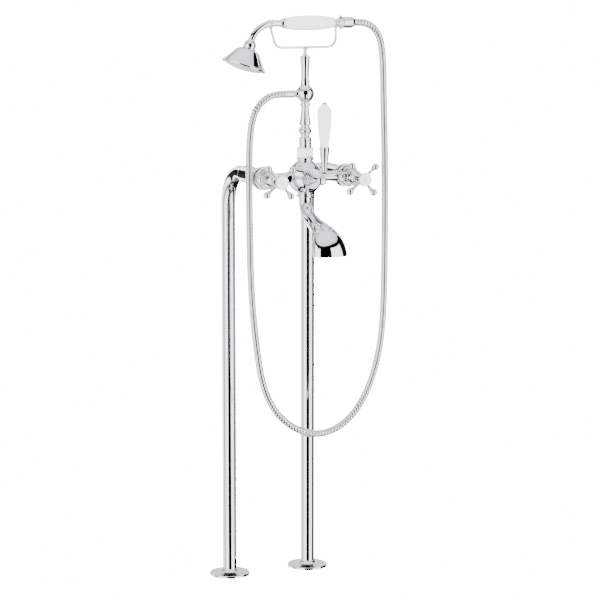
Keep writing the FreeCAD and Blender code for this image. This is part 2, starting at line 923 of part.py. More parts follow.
# the plug's front face, how deep its spindle sits in it, the spindle's seal above the
# spindle's foot, and the solid crown of the lever's hub
plug_station = boss_station - 12.6
PLUG_GRIP = 3.8
DIVERTER_SEAL = 8
HUB_CROWN = 8

def diverter_bonnet():
    """The ringed cap screwed into the front boss, with the gland for the lever's spindle."""
    start = boss_station - 12
    seat = boss_station - start
    front = boss_cap_station - start
    radius = size("boss_cap_diameter") / 2
    thread = size("ball_bore") / 2 - running
    bore = size("spindle_diameter") / 2 + running
    gland = hub_back_station - 0.4 - start
    step = (radius - 7.5) / 3
    outline = [
        (bore, 0),
        (thread, 0),
        (thread, seat),
        (radius, seat),
        (radius, seat + 2.4, QUARTER),
        (radius - step * 0.7, seat + 3.8),
        (radius - step, seat + 3.2),
        (radius - step, seat + 5, QUARTER),
        (radius - step * 1.7, seat + 6.2),
        (radius - step * 2, seat + 5.6),
        (radius - step * 2, front - 1.2, QUARTER),
        (radius - step * 2.6, front),
        (7.5, front),
        (6.6, front + 1),
        (6.6, gland - 0.6),
        (6, gland),
        (bore, gland),
    ]
    return piece(valve_place(turned("diverter_bonnet", outline), 0, start), "diverter_bonnet")


def diverter_plug():
    """The hollow plug that turns in the ball and opens the way to the riser or the spout."""
    back = body_station - size("ball_bore") * 0.75 + 0.6
    length = plug_station - back
    radius = size("ball_bore") / 2 - running
    socket = size("spindle_diameter") / 2 + running
    outline = [
        (radius - 3, 0),
        (radius, 0),
        (radius, length),
        (socket, length),
        (socket, length - PLUG_GRIP - gap * 2),
        (radius - 3, length - PLUG_GRIP - gap * 2),
    ]
    base = valve_place(turned("diverter_plug_blank", outline), 0, back)
    way = size("arm_bore") / 2
    rise = Rotation(Vector(0, 1, 0), 45)
    ways = [
        cylinder("plug_side_way", way, radius * 2 + 4, -(radius + 2), body_y, valve_z, RIGHTWARD),
        cylinder("plug_spout_way", way, radius + 2, 0, body_y, valve_z, DOWN),
        cylinder("plug_riser_way", way, radius + 2, 0, body_y, valve_z, rise),
    ]
    return piece(cut("diverter_plug", base, ways), "diverter_plug")


def diverter_spindle():
    radius = size("spindle_diameter") / 2
    start = plug_station - PLUG_GRIP
    length = hub_front_station - HUB_CROWN - start
    seal = DIVERTER_SEAL
    outline = [
        (0, 0),
        (radius, 0),
        (radius, seal),
        (radius - 1, seal),
        (radius - 1, seal + 2.4),
        (radius, seal + 2.4),
        (radius, length - 0.5),
        (radius - 0.5, length),
        (0, length),
    ]
    return piece(valve_place(turned("diverter_spindle", outline), 0, start), "diverter_spindle")


def diverter_seal():
    radius = size("spindle_diameter") / 2
    start = plug_station - PLUG_GRIP + DIVERTER_SEAL + gap
    outline = [(radius - 1, 0), (radius, 0), (radius, 2.2), (radius - 1, 2.2)]
    return piece(valve_place(turned("diverter_seal", outline), 0, start), "diverter_seal")


def lever_arm():
    """The lever's hub, its bent stem, and the flared ferrule under the porcelain grip."""
    back = hub_back_station
    length = hub_front_station - back
    radius = size("lever_hub_diameter") / 2
    socket = size("spindle_diameter") / 2 + running
    hub = valve_place(turned("lever_hub", [
        (socket, 0),
        (radius - 1.5, 0, QUARTER),
        (radius, 1.5),
        (radius, length - 6, QUARTER),
        (radius - 6, length),
        (0, length),
        (0, length - HUB_CROWN + gap * 2),
        (socket, length - HUB_CROWN + gap * 2),
    ]), 0, back)
    lean = size("lever_lean_angle")
    bend = sized(9)
    start = stem_station
    side = lever_station - start
    rise = 3
    across = bend * (1 - cosine(lean))
    up = bend * sine(lean)
    middle = (side - across * 2) / sine(lean)
    stem_radius = size("lever_stem_diameter") / 2
    foot = radius * 0.7
    turn = math.tan(math.radians(lean.number / 4))
    first = (sized(rise) + up, across)
    second = (first[0] + middle * cosine(lean), first[1] + middle * sine(lean))
    third = (second[0] + up, side)
    stem_top = size("ferrule_top") - 22
    stem = piped("lever_stem", [stem_radius], [
        (0, 0),
        (rise, 0, turn),
        (first[0], first[1]),
        (second[0], second[1], -turn),
        (third[0], third[1]),
        (stem_top - foot + 1, side),
    ])
    heading = Rotation(Vector(0, 0, 1), Vector(-1, 0, 0), Vector(0, -1, 0), "XYZ")
    put(stem, 0, -start, valve_z + foot, heading)
    top = size("ferrule_top_diameter") / 2
    ferrule = put(turned("lever_ferrule", [
        (0, 0),
        (stem_radius + 0.2, 0),
        (stem_radius + 1.2, 2),
        (stem_radius + 2.0, 9, -SOFT),
        (top - 0.6, 20.6),
        (top, 21.4),
        (top, 22),
        (size("rod_diameter") / 2 + running, 22),
        (size("rod_diameter") / 2 + running, 9),
        (0, 9),
    ]), 0, -lever_station, valve_z + stem_top)
    return piece(fuse("lever_arm", [hub, stem, ferrule]), "lever_arm")


def lever_grip():
    """The porcelain grip, slim at the foot and full at the crown."""
    foot = size("grip_foot_diameter") / 2
    crown = size("grip_crown_diameter") / 2
    length = size("grip_length")
    bore = size("rod_diameter") / 2 + gap
    outline = [
        (bore, 0),
        (foot - 0.4, 0),
        (foot, 0.6),
        (foot + 0.5, 8, SOFT / 4),
        (crown, length - 12, ROUND),
        (crown - 5, length - 3, SOFT),
        (5, length),
        (bore, length),
    ]
    base = turned("lever_grip", outline)
    place = valve_z + size("ferrule_top") + running
    return piece(put(base, 0, -lever_station, place), "lever_grip")


def lever_button():
    """The chrome button on top of the grip and the tie rod that holds it down."""
    rod = size("rod_diameter") / 2
    radius = size("button_diameter") / 2
    length = size("grip_length") + 11
    outline = [
        (0, 0),
        (rod, 0),
        (rod, length),
        (radius, length),
        (radius, length + 1.2, QUARTER),
        (radius - 2.6, length + 3.8),
        (0, length + 4.2),
    ]
    place = valve_z + size("ferrule_top") + running * 2 - 11
    return piece(put(turned("lever_button", outline), 0, -lever_station, place),
                 "lever_button")


# ---------------------------------------------------------------- riser

riser_seat = valve_z + size("top_seat")
nut_seat = riser_seat + size("collar_height")
nut_top = nut_seat + size("nut_height")
thread_radius = size("thread_diameter") / 2


def collar(label, z, heading):
    """A rounded ring between the body and what is screwed into it."""
    radius = size("collar_diameter") / 2
    height = size("collar_height")
    bore = thread_radius + running
    outline = [
        (bore, 0),
        (radius - 1.2, 0, QUARTER),
        (radius, 1.2),
        (radius, height - 1.6, QUARTER),
        (radius - 1.6, height),
        (bore, height),
    ]
    return piece(put(turned(label, outline), 0, body_y, z, heading), label)


def riser_nut():
    height = size("nut_height")
    corner = size("nut_corner") / 2
    bore = thread_radius + running
    blank = put(prism("riser_nut_blank", corner, height, 0, 0, 0), 0, body_y, nut_seat,
                Rotation(Vector(0, 0, 1), 18))
    limit = put(turned("riser_nut_limit", [
        (bore, 0),
        (corner - 1.6, 0),
        (corner, 1),
        (corner, height - 1),
        (corner - 1.6, height),
        (bore, height),
    ]), 0, body_y, nut_seat)
    return piece(common("riser_nut", [blank, limit]), "riser_nut")


def riser_column():
    """The turned riser: barrel, bead, cone, ring, sphere and flared mouth, bored for water."""
    barrel = size("riser_barrel_diameter") / 2
    groove = size("riser_groove_diameter") / 2
    bead = size("riser_bead_diameter") / 2
    cone_radius = size("riser_cone_diameter") / 2
    waist = size("riser_waist_diameter") / 2
    ring = size("riser_ring_diameter") / 2
    throat = size("riser_throat_diameter") / 2
    mouth = size("riser_mouth_diameter") / 2
    globe = size("sphere_diameter") / 2
    bottom = riser_seat - 8
    tail = nut_top - bottom
    globe_middle = sphere_z - bottom
    heights = [
        size("riser_barrel_height"),
        size("riser_groove_height"),
        size("riser_bead_height"),
        size("riser_groove_height") - 1,
        size("riser_cone_height"),
        size("riser_ring_height"),
        size("riser_collar_drop"),
    ]
    stretch = (sphere_z - nut_top) / sum(heights[1:], heights[0])
    barrel_top = tail + heights[0] * stretch
    bead_foot = barrel_top + heights[1] * stretch
    bead_top = bead_foot + heights[2] * stretch
    cone_foot = bead_top + heights[3] * stretch
    cone_top = cone_foot + heights[4] * stretch
    ring_top = cone_top + heights[5] * stretch
    neck_foot = globe_middle + globe * 0.78
    top = riser_top - bottom
    neck_waist = top - 17.7
    outline = [
        (0, 0),
        (thread_radius, 0),
        (thread_radius, tail),
        (barrel, tail),
        (barrel, barrel_top - 1.2, QUARTER),
        (barrel - 1.2, barrel_top),
        (groove + 1.2, barrel_top),
        (groove, barrel_top + 1.2),
        (groove, bead_foot - 0.6),
        (bead - 1.5, bead_foot),
        (bead - 1.5, bead_foot + 1),
        (bead - 2.2, bead_foot + 2, ROUND * 2),
        (bead - 2.2, bead_top - 2),
        (bead - 1.5, bead_top - 1),
        (bead - 1.5, bead_top),
        (groove, bead_top + 0.6),
        (groove, cone_foot - 1.6),
        (cone_radius, cone_foot),
        (cone_radius, cone_foot + 1.4, -SOFT / 2),
        (waist, cone_top),
        (ring - 1, cone_top),
        (ring, cone_top + 1),
        (ring, ring_top - 1.4),
        (ring - 1.6, ring_top),
        (waist, ring_top),
        (waist, globe_middle),
        (globe * 0.6, neck_foot, -ROUND * 0.9),
        (throat, neck_waist, -SOFT * 0.5),
        (mouth, top - 0.6),
        (mouth, top),
        (0, top),
    ]
    turning = put(turned("riser_turning", outline), 0, body_y, bottom)
    globe_solid = sphere("riser_globe", globe, 0, body_y, sphere_z)
    bore = size("riser_bore") / 2
    port = size("outlet_thread") / 2 + running
    flat = size("outlet_diameter") / 2 + 0.4
    hollows = [
        cylinder("riser_way", bore, sphere_z - bottom + 4, 0, body_y, bottom),
        cylinder("riser_port", port, globe + 2, 0, body_y, sphere_z, LEFTWARD),
        cylinder("riser_port_face", flat, 5, 1.8 - globe, body_y, sphere_z, LEFTWARD),
        cylinder("riser_socket", size("cradle_stem_diameter") / 2 + running, 13,
                 0, body_y, riser_top - 12),
    ]
    solid = fuse("riser_solid", [turning, globe_solid])
    return piece(cut("riser_column", solid, hollows), "riser_column")


# ---------------------------------------------------------------- hose and its ends

hose_start = size("outlet_reach") + size("hose_nut_length")
tail_start = size("grip_right") + running
tail_nut_start = tail_start + 16.1
hose_end = tail_start + 38.95


def hose_outlet():
    """The nipple on the riser's sphere that the hose nut screws on."""
    face = size("sphere_diameter") / 2 - 1.8 + gap
    reach = size("outlet_reach")
    radius = size("outlet_diameter") / 2
    thread = size("outlet_thread") / 2
    bore = sized(3.2)
    outline = [
        (bore, face - 5),
        (thread, face - 5),
        (thread, face),
        (radius + 0.4, face),
        (radius + 0.4, face + 1.2),
        (radius - 1.2, face + 4.4),
        (radius, reach - 2.4),
        (radius, reach - running),
        (thread, reach - running),
        (thread, reach + 8),
        (bore, reach + 8),
    ]
    return piece(put(turned("hose_outlet", outline), 0, body_y, sphere_z, LEFTWARD),
                 "hose_outlet")


def outlet_washer():
    reach = size("outlet_reach") + 8 + running
    radius = size("outlet_thread") / 2 - running
    outline = [(3.2, 0), (radius, 0), (radius, 1.5), (3.2, 1.5)]
    return piece(put(turned("outlet_washer", outline), -reach, body_y, sphere_z, LEFTWARD),
                 "outlet_washer")


def outlet_nut():
    """The hose's nut at the riser, a slim barrel with a groove."""
    radius = size("hose_nut_diameter") / 2
    length = size("hose_nut_length")
    thread = size("outlet_thread") / 2 + running
    shoulder = 9.65
    outline = [
        (thread, 0),
        (radius - 0.6, 0),
        (radius, 0.6),
        (radius, 9),
        (radius - 0.6, 9.6),
        (radius - 0.6, 10.4),
        (radius, 11),
        (radius, length - 1),
        (radius - 0.6, length),
        (3.2, length),
        (3.2, shoulder),
        (thread, shoulder),
    ]
    return piece(put(turned("outlet_nut", outline), -size("outlet_reach"), body_y, sphere_z,
                     LEFTWARD), "outlet_nut")


# The hose's route in its upright plane, as (X, Z) corners from the riser's nut to the hand
# shower's nut. It is chosen by hand: it sags in front of the standpipes to Z = 280. Its
# two ends are given as well, so that it moves along when a nut does.
ROUTE_START = (-38.5, 865.0)
ROUTE_END = (90.5, 983.0)
ROUTE = [
    (-53.5, 865.0),
    (-69.0, 859.6),
    (-83.0, 848.5),
    (-94.5, 829.0),
    (-102.5, 796.0),
    (-106.0, 745.0),
    (-106.0, 660.0),
    (-99.0, 535.0),
    (-88.5, 430.0),
    (-76.0, 362.0),
    (-49.0, 314.0),
    (-5.0, 283.0),
    (43.0, 278.0),
    (89.0, 304.0),
    (121.0, 354.0),
    (140.0, 414.0),
    (148.5, 485.0),
    (151.5, 605.0),
    (153.5, 735.0),
    (152.5, 812.0),
    (151.0, 868.0),
    (149.5, 908.0),
    (146.5, 936.0),
    (141.0, 955.0),
    (132.0, 968.5),
    (120.0, 978.0),
    (105.5, 983.0),
]
RIBS = 200


def hose_corners():
    """The route from nut to nut; a corner follows the nut that it is nearer to."""
    plane_y = body_y.number
    start = Vector(-hose_start.number, plane_y, sphere_z.number)
    end = Vector(hose_end.number, plane_y, hand_z.number)
    start_shift = start - Vector(ROUTE_START[0], plane_y, ROUTE_START[1])
    end_shift = end - Vector(ROUTE_END[0], plane_y, ROUTE_END[1])
    corners = [start]
    for number, (across, up) in enumerate(ROUTE, start=1):
        share = number / (len(ROUTE) + 1)
        shift = start_shift * (1 - share) + end_shift * share
        corners.append(Vector(across, plane_y, up) + shift)
    return corners + [end]


def hose_path(corners):
    """Straight runs joined by tangent arcs; each arc takes 0.45 of its shorter run."""
    edges = []
    radii = []
    here = corners[0]
    for before, corner, after in zip(corners, corners[1:], corners[2:]):
        coming = corner - before
        going = after - corner
        reach = 0.45 * min(coming.Length, going.Length)
        turn = coming.getAngle(going)
        radii.append(reach / math.tan(turn / 2))
        start = corner - coming.normalize() * reach
        stop = corner + going.normalize() * reach
        bisector = (start + stop) / 2 - corner
        inset = radii[-1] / math.cos(turn / 2) - radii[-1]
        middle = corner + bisector.normalize() * inset
        edges.append(Part.LineSegment(here, start).toShape())
        edges.append(Part.Arc(start, middle, stop).toShape())
        here = stop
    edges.append(Part.LineSegment(here, corners[-1]).toShape())
    return Part.Wire(edges), radii


def hose():
    """The ribbed metal hose: a ruled loft through four circles per rib, less its bore."""
    item = doc.addObject("Part::Feature", "hose")
    path, radii = hose_path(hose_corners())
    print("hose length %.1f mm, arc radii from %.1f mm" % (path.Length, min(radii)))
    print("hose arc radii:", " ".join("%.0f" % radius for radius in radii))
    crest = size("hose_diameter").number / 2
    valley = crest - size("hose_rib_depth").number
    pitch = path.Length / RIBS
    stations = []
    for rib in range(RIBS):
        for share, radius in ((0.0, valley), (0.2, crest), (0.62, crest), (0.82, valley)):
            stations.append(((rib + share) * pitch, radius))
    stations.append((path.Length, valley))
    steady = Vector(0, 1, 0)
    rings = []
    edges = path.Edges
    edge_starts = [sum(edge.Length for edge in edges[:number]) for number in range(len(edges))]
    number = 0
    for distance, radius in stations:
        while number + 1 < len(edges) and distance > edge_starts[number + 1]:
            number += 1
        edge = edges[number]
        along = min(distance - edge_starts[number], edge.Length)
        parameter = edge.getParameterByLength(along)
        heading = edge.tangentAt(parameter)
        frame = Rotation(steady, heading.cross(steady), heading, "ZXY")
        ring = Part.Wire([Part.makeCircle(radius)])
        ring.Placement = Placement(edge.valueAt(parameter), frame)
        rings.append(ring)
    skin = Part.makeLoft(rings, True, True)
    bore = Part.Wire([Part.makeCircle(size("hose_bore").number / 2)])
    bore.Placement = rings[0].Placement
    core = path.makePipeShell([bore], True, False)
    item.Shape = skin.cut(core)
    section = math.pi * (((crest + valley) / 2) ** 2 - (size("hose_bore").number / 2) ** 2)
    print("hose volume %.0f mm3, section times length %.0f mm3"
          % (item.Shape.Volume, section * path.Length))
    return piece(item, "hose")


# ---------------------------------------------------------------- cradle

def fork(label, x, held_radius):
    """An open half ring that the hand shower lies in, with two short prongs."""
    rod = size("fork_rod_diameter") / 2
    ring_radius = held_radius + size("fork_gap") + rod
    ring = doc.addObject("Part::Torus", f"{label}_ring")
    bind(ring, "Radius1", ring_radius)
    bind(ring, "Radius2", rod)
    ring.Angle3 = 180
    put(ring, x, body_y, hand_z, RIGHTWARD * Rotation(Vector(0, 0, 1), -90))
    solids = [ring]
    for sign, side in ((-1, "front"), (1, "back")):
        across = body_y + ring_radius * sign
        prong = size("fork_prong")
        solids.append(cylinder(f"{label}_{side}_prong", rod, prong, x, across, hand_z))
        solids.append(sphere(f"{label}_{side}_tip", rod, x, across, hand_z + prong))
    return solids, ring_radius


def cradle():
    """The bent rod cradle with a fork at each end of the hand shower's grip."""
    rod = size("cradle_rod_diameter") / 2
    corner = size("cradle_corner")
    left, ring_radius = fork("left_fork", -size("cradle_left"), size("neck_diameter") / 2)
    rise = hand_z - ring_radius - bar_z
    right, ring_radius = fork("right_fork", size("cradle_right"), size("tail_neck_diameter") / 2)
    right_rise = hand_z - ring_radius - bar_z
    reach = size("cradle_right")
    right_rod = piped("cradle_right_rod", [rod], [
        (0, 0),
        (reach - corner, 0, QUARTER),
        (reach, corner),
        (reach, right_rise),
    ])
    put(right_rod, 0, body_y, bar_z)
    lean = size("cradle_lean_angle")
    knee = size("cradle_left") - rise * tangent(lean)
    turn = 90 - lean
    trim = corner * tangent(turn / 2)
    left_rod = piped("cradle_left_rod", [rod], [
        (0, 0),
        (knee - trim, 0, math.tan(math.radians(turn.number / 4))),
        (knee + trim * sine(lean), trim * cosine(lean)),
        (size("cradle_left"), rise),
    ])
    put(left_rod, 0, body_y, bar_z, Rotation(Vector(0, 0, 1), 180))
    stem = size("cradle_stem_diameter") / 2
    foot = riser_top - 11
    height = bar_z - foot
    post = put(turned("cradle_post", [
        (0, 0),
        (stem, 0),
        (stem, 11),
        (stem + 1.6, 11.1),
        (stem + 1.6, 13),
        (stem - 0.4, 14.5),
        (stem - 0.4, height - 6, -SOFT),
        (stem + 2, height),
        (0, height),
    ]), 0, body_y, foot)
    return piece(fuse("cradle", left + right + [left_rod, right_rod, post]), "cradle")


# ---------------------------------------------------------------- spout

# stations down the spout: shares of its reach and drop, tilt of the section in degrees,
# and shares of the way from the round neck to the wide mouth, across and in depth
SPOUT_STATIONS = (
    (0.00, 0.00, 0, 0.00, 0.00),
    (0.046, 0.205, 34, 0.00, 0.00),
    (0.333, 0.434, 62, 0.08, 0.09),
    (0.769, 0.617, 44, 0.63, 0.74),
    (1.00, 1.00, 0, 1.00, 1.00),
)


def spout_loft(label, inset, top_trim, overrun):
    """The spout's outer or inner form, lofted through ellipses."""
    neck_z = valve_z - size("bottom_seat") - size("collar_height")
    drop = neck_z - (valve_z - size("spout_drop"))
    neck = size("spout_neck_diameter") / 2 - inset
    width = size("spout_mouth_width") / 2 - inset
    depth = size("spout_mouth_depth") / 2 - inset
    sections = []
    for number, (reach, fall, tilt, wide, deep) in enumerate(SPOUT_STATIONS):
        section = doc.addObject("Part::Ellipse", f"{label}_{number}")
        bind(section, "MajorRadius", neck + (width - neck) * wide + 0.01)
        bind(section, "MinorRadius", neck + (depth - neck) * deep)
        height = neck_z - drop * fall
        if number == 0:
            height = height - top_trim
        if number == len(SPOUT_STATIONS) - 1:
            height = height - overrun
        put(section, 0, body_y - size("spout_reach") * reach, height,
            Rotation(Vector(1, 0, 0), -tilt))
        sections.append(section)
    loft = doc.addObject("Part::Loft", label)
    loft.Sections = sections
    loft.Solid = True
    return loft


def spout():
    """The hollow S-shaped spout with its threaded tail."""
    neck_z = valve_z - size("bottom_seat") - size("collar_height")
    tail = size("collar_height") + 6
    outer = spout_loft("spout_outside", sized(0), sized(0), sized(0))
    inner = spout_loft("spout_inside", size("spout_wall"), sized(5), sized(1))
    thread = cylinder("spout_thread", thread_radius, tail + 1, 0, body_y, neck_z - 1)
    way = cylinder("spout_way", thread_radius - 2, tail + 7, 0, body_y, neck_z - 6)
    return piece(cut("spout", fuse("spout_solid", [outer, thread]), [inner, way]), "spout")


# ---------------------------------------------------------------- hand shower

def along_hand(item, x):
    return put(item, x, body_y, hand_z, RIGHTWARD)


def handset_grip():
    end = size("handset_end_diameter") / 2
    swell = size("handset_grip_diameter") / 2 - end
    length = size("grip_left") + size("grip_right")
    bore = size("handset_tube_diameter") / 2 + gap
    bulge = 2 * swell.number / (length.number - 3)
    outline = [
        (bore, 0),
        (end - 1, 0),
        (end, 1.5, bulge),
        (end, length - 1.5),
        (end - 1, length),
        (bore, length),
    ]
    return piece(along_hand(turned("handset_grip", outline), -size("grip_left")), "handset_grip")


def grip_tube():
    """The brass tube that carries the water through the grip."""
    radius = size("handset_tube_diameter") / 2
    start = size("grip_left") + 7
    length = start + tail_start + 7
    outline = [(radius - 0.9, 0), (radius, 0), (radius, length), (radius - 0.9, length)]
    return piece(along_hand(turned("grip_tube", outline), -start), "grip_tube")


def neck_ferrule():
    inner = size("neck_diameter") / 2 + running
    outer = size("handset_end_diameter") / 2
    length = size("neck_ferrule_length")
    outline = [
        (inner, 0),
        (inner + 0.9, 0),
        (inner + 1.3, 2.6, -SOFT),
        (outer - 0.2, length - 1.2),
        (outer - 0.2, length - running),
        (inner, length - running),
    ]
    start = size("grip_left") + length
    return piece(along_hand(turned("neck_ferrule", outline), -start), "neck_ferrule")


head_angle = size("head_angle")
neck_turn = 90 - head_angle
NECK_TIP = 5.0


def handset_neck():
    """The bent tube from the grip to the shower head."""
    radius = size("neck_diameter") / 2
    straight = size("neck_straight")
    bend = size("neck_radius")
    across = bend * sine(neck_turn)
    fall = bend * (1 - cosine(neck_turn))
    tip_across = across + cosine(neck_turn) * NECK_TIP
    tip_fall = fall + sine(neck_turn) * NECK_TIP
    tube = piped("neck_tube", [radius, size("neck_bore") / 2], [
        (0, 0),
        (straight, 0, -math.tan(math.radians(neck_turn.number / 4))),
        (straight + across, -fall),
        (straight + tip_across, -tip_fall),
    ])
    start = -size("grip_left") - running
    put(tube, start, body_y, hand_z, Rotation(Vector(0, 0, 1), 180))
    socket = cylinder("neck_socket", size("handset_tube_diameter") / 2 + running, 8,
                      start, body_y, hand_z, LEFTWARD)
    return piece(cut("handset_neck", tube, [socket]), "handset_neck")


def on_head(item, height):
    """Sets a turned piece on the shower head's axis, at a height from the neck's bend end."""
    x = -size("grip_left") - size("neck_straight") - size("neck_radius") * sine(neck_turn)
    z = hand_z - size("neck_radius") * (1 - cosine(neck_turn))
    tilt = Rotation(Vector(0, 1, 0), head_angle.number)
    height = sized(height)
    return put(item, x + height * sine(head_angle), body_y, z + height * cosine(head_angle), tilt)


def head_nut():
    """The domed nut between neck and bell."""
    radius = size("knuckle_diameter") / 2
    height = size("knuckle_height")
    socket = size("neck_diameter") / 2 + running
    outline = [
        (4, 0),
        (radius, 0),
        (radius, 1.6),
        (radius - 0.8, 2.4, ROUND),
        (socket + 1.2, height - 1),
        (socket + 0.8, height),
        (socket, height),
        (socket, height - NECK_TIP - gap),
        (4, height - NECK_TIP - gap),
    ]
    return piece(on_head(turned("head_nut", outline), -height), "head_nut")


def shower_bell():
    """The bell of the shower head, open below."""
    rim = size("bell_rim_diameter") / 2
    shoulder = size("bell_shoulder_diameter") / 2
    nut = size("knuckle_diameter") / 2
    height = size("bell_height") - running
    wall = size("bell_wall")
    ledge = size("face_thickness") + 1.2
    outline = [
        (rim - wall, 0),
        (rim, 0),
        (rim, 2),
        (rim - 0.8, 3),
        (shoulder, height - 4, SOFT),
        (nut, height),
        (4, height),
        (4, height - wall),
        (nut - 0.6, height - wall),
        (shoulder - 1.2, height - 4 - wall),
        (rim - wall - 4, ledge + 1.4),
        (rim - wall - 2, ledge),
        (rim - wall, ledge),
    ]
    place = -(size("knuckle_height") + size("bell_height"))
    return piece(on_head(turned("shower_bell", outline), place), "shower_bell")


def spray_seal():
    outer = size("bell_rim_diameter") / 2 - size("bell_wall") - gap
    low = size("face_thickness") + 0.25
    high = size("face_thickness") + 1.15
    outline = [(outer - 1.8, low), (outer, low), (outer, high), (outer - 1.8, high)]
    place = -(size("knuckle_height") + size("bell_height"))
    return piece(on_head(turned("spray_seal", outline), place), "spray_seal")


def spray_plate():
    """The bulged spray face with three rings of drilled nozzles."""
    outer = size("bell_rim_diameter") / 2 - size("bell_wall") - gap
    thick = size("face_thickness") + 0.2
    bulge = size("face_bulge")
    rim = outer - 3
    body = turned("spray_plate", [
        (0, -bulge, dome(rim, bulge + 0.2)),
        (rim, 0.2),
        (outer, 0.2),
        (outer, thick),
        (rim, thick),
        (0, thick - bulge * 0.6),
    ])
    nozzle = size("nozzle_diameter") / 2
    for number, (share, count) in enumerate(((0.28, 6), (0.56, 12), (0.84, 20))):
        sketch = new_sketch(body, f"nozzle_ring_{number}", "XY_Plane")
        spot = rim * share
        edge = sketch.addGeometry(Part.Circle(Vector(spot.number, 0, 0), Vector(0, 0, 1),
                                              nozzle.number), False)
        sketch.addConstraint(Sketcher.Constraint("PointOnObject", edge, 3, -1))
        for rule, value in (
            (Sketcher.Constraint("DistanceX", -1, 1, edge, 3, spot.number), spot),
            (Sketcher.Constraint("Radius", edge, nozzle.number), nozzle),
        ):
            bind(sketch, f"Constraints[{sketch.addConstraint(rule)}]", value)
        drilled = body.newObject("PartDesign::Pocket", f"nozzle_hole_{number}")
        drilled.Profile = sketch
        drilled.Type = "ThroughAll"
        drilled.Midplane = True
        ring = body.newObject("PartDesign::PolarPattern", f"nozzles_{number}")
        ring.Originals = [drilled]
        ring.Axis = (plane_of(body, "Z_Axis"), [""])
        ring.Angle = 360
        ring.Occurrences = count
        body.Tip = ring
    place = -(size("knuckle_height") + size("bell_height"))
    return piece(on_head(body, place), "spray_plate")


def handset_tail():
    """The trumpet-shaped fitting behind the grip, with the hose thread."""
    neck = size("tail_neck_diameter") / 2
    trumpet = size("trumpet_diameter") / 2
    tube = size("handset_tube_diameter") / 2 + running
    end = size("handset_end_diameter") / 2
    thread = sized(7.6)
    outline = [
        (tube, 0),
        (end - 0.3, 0),
        (end - 0.3, 1.2),
        (neck, 2.2),
        (neck, 7.2, -ROUND * 0.8),
        (trumpet - 0.8, 12.6),
        (trumpet, 13.4),
        (trumpet, 14.2),
        (8.8, 16),
        (thread, 16),
        (thread, 25),
        (3.6, 25),
        (3.6, 8),
        (tube, 8),
    ]
    return piece(along_hand(turned("handset_tail", outline), tail_start), "handset_tail")


def tail_washer():
    outline = [(3.6, 0), (7.4, 0), (7.4, 1.5), (3.6, 1.5)]
    return piece(along_hand(turned("tail_washer", outline), tail_start + 25 + running),
                 "tail_washer")


def tail_nut():
    """The hose's nut at the hand shower."""
    radius = size("end_nut_diameter") / 2
    length = hose_end - tail_nut_start
    outline = [
        (7.65, 0),
        (radius - 0.8, 0),
        (radius, 0.8),
        (radius, 15),
        (radius - 0.9, 15.6),
        (radius - 0.9, 16.6),
        (radius - 0.2, 17.2),
        (7.4, length - 1.5),
        (7, length),
        (3.2, length),
        (3.2, 10.65),
        (7.65, 10.65),
    ]
    return piece(along_hand(turned("tail_nut", outline), tail_nut_start), "tail_nut")


# ---------------------------------------------------------------- assembly

for side, hand, x, _ in SIDES:
    floor_plate(f"floor_plate_{hand}", x)
    floor_cover(f"floor_cover_{hand}", x)
    cover_screw(f"cover_screw_{hand}", x)
    standpipe(f"standpipe_{hand}", x)
    pipe_ferrule(f"pipe_ferrule_{hand}", x)
    inlet_washer(f"inlet_washer_{hand}", x)
    union_sleeve(f"union_sleeve_{hand}", x)
    bonnet(f"{side}_bonnet", x)
    ceramic_disc(f"{side}_fixed_disc", x, 0, 0)
    ceramic_disc(f"{side}_turning_disc", x, 1, 90)
    spindle(f"{side}_spindle", x)
    spindle_seal(f"{side}_spindle_seal", x)
    cross_handle(f"{side}_cross_handle", x)
    index_cap(f"{side}_index_cap", x)
    handle_screw(f"{side}_handle_screw", x)

mixer_body()
diverter_bonnet()
diverter_plug()
diverter_spindle()
diverter_seal()
lever_arm()
lever_grip()
lever_button()
collar("riser_collar", riser_seat, UP)
riser_nut()
riser_column()
cradle()
collar("spout_collar", valve_z - size("bottom_seat"), DOWN)
spout()
hose_outlet()
outlet_washer()
outlet_nut()
hose()
handset_neck()
neck_ferrule()
handset_grip()
grip_tube()
handset_tail()
tail_washer()
tail_nut()
head_nut()
shower_bell()
spray_seal()
spray_plate()

doc.recompute()

for item in doc.Objects:
    if "Invalid" in item.State or "Error" in item.State:
        raise RuntimeError(f"{item.Label} failed to build: {item.State}")

for label, item in PIECES.items():
    shape = item.Shape
    if shape.isNull() or not shape.isValid() or not shape.Solids:
        raise RuntimeError(f"{label} has no valid solid")
    shape.exportStep(f"parts/{label}.step")

print(f"{len(PIECES)} sub-parts written")
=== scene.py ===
# %% [markdown]
# # A floor standing bath filler
#
# Two chromed standpipes carry a ball-bodied mixer with two cross-handled valves, a lever
# that sends the water down the spout or up to the hand shower, and a turned riser with a
# cradle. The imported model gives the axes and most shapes, and this script dresses it: the
# standpipes are drawn again as smooth tubes, the caps and the spray face are turned again,
# the hose gets its wound profile, and every surface gets the finish of such a filler.

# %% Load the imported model
import json
import math

import bmesh
import bpy
from mathutils import Matrix, Vector


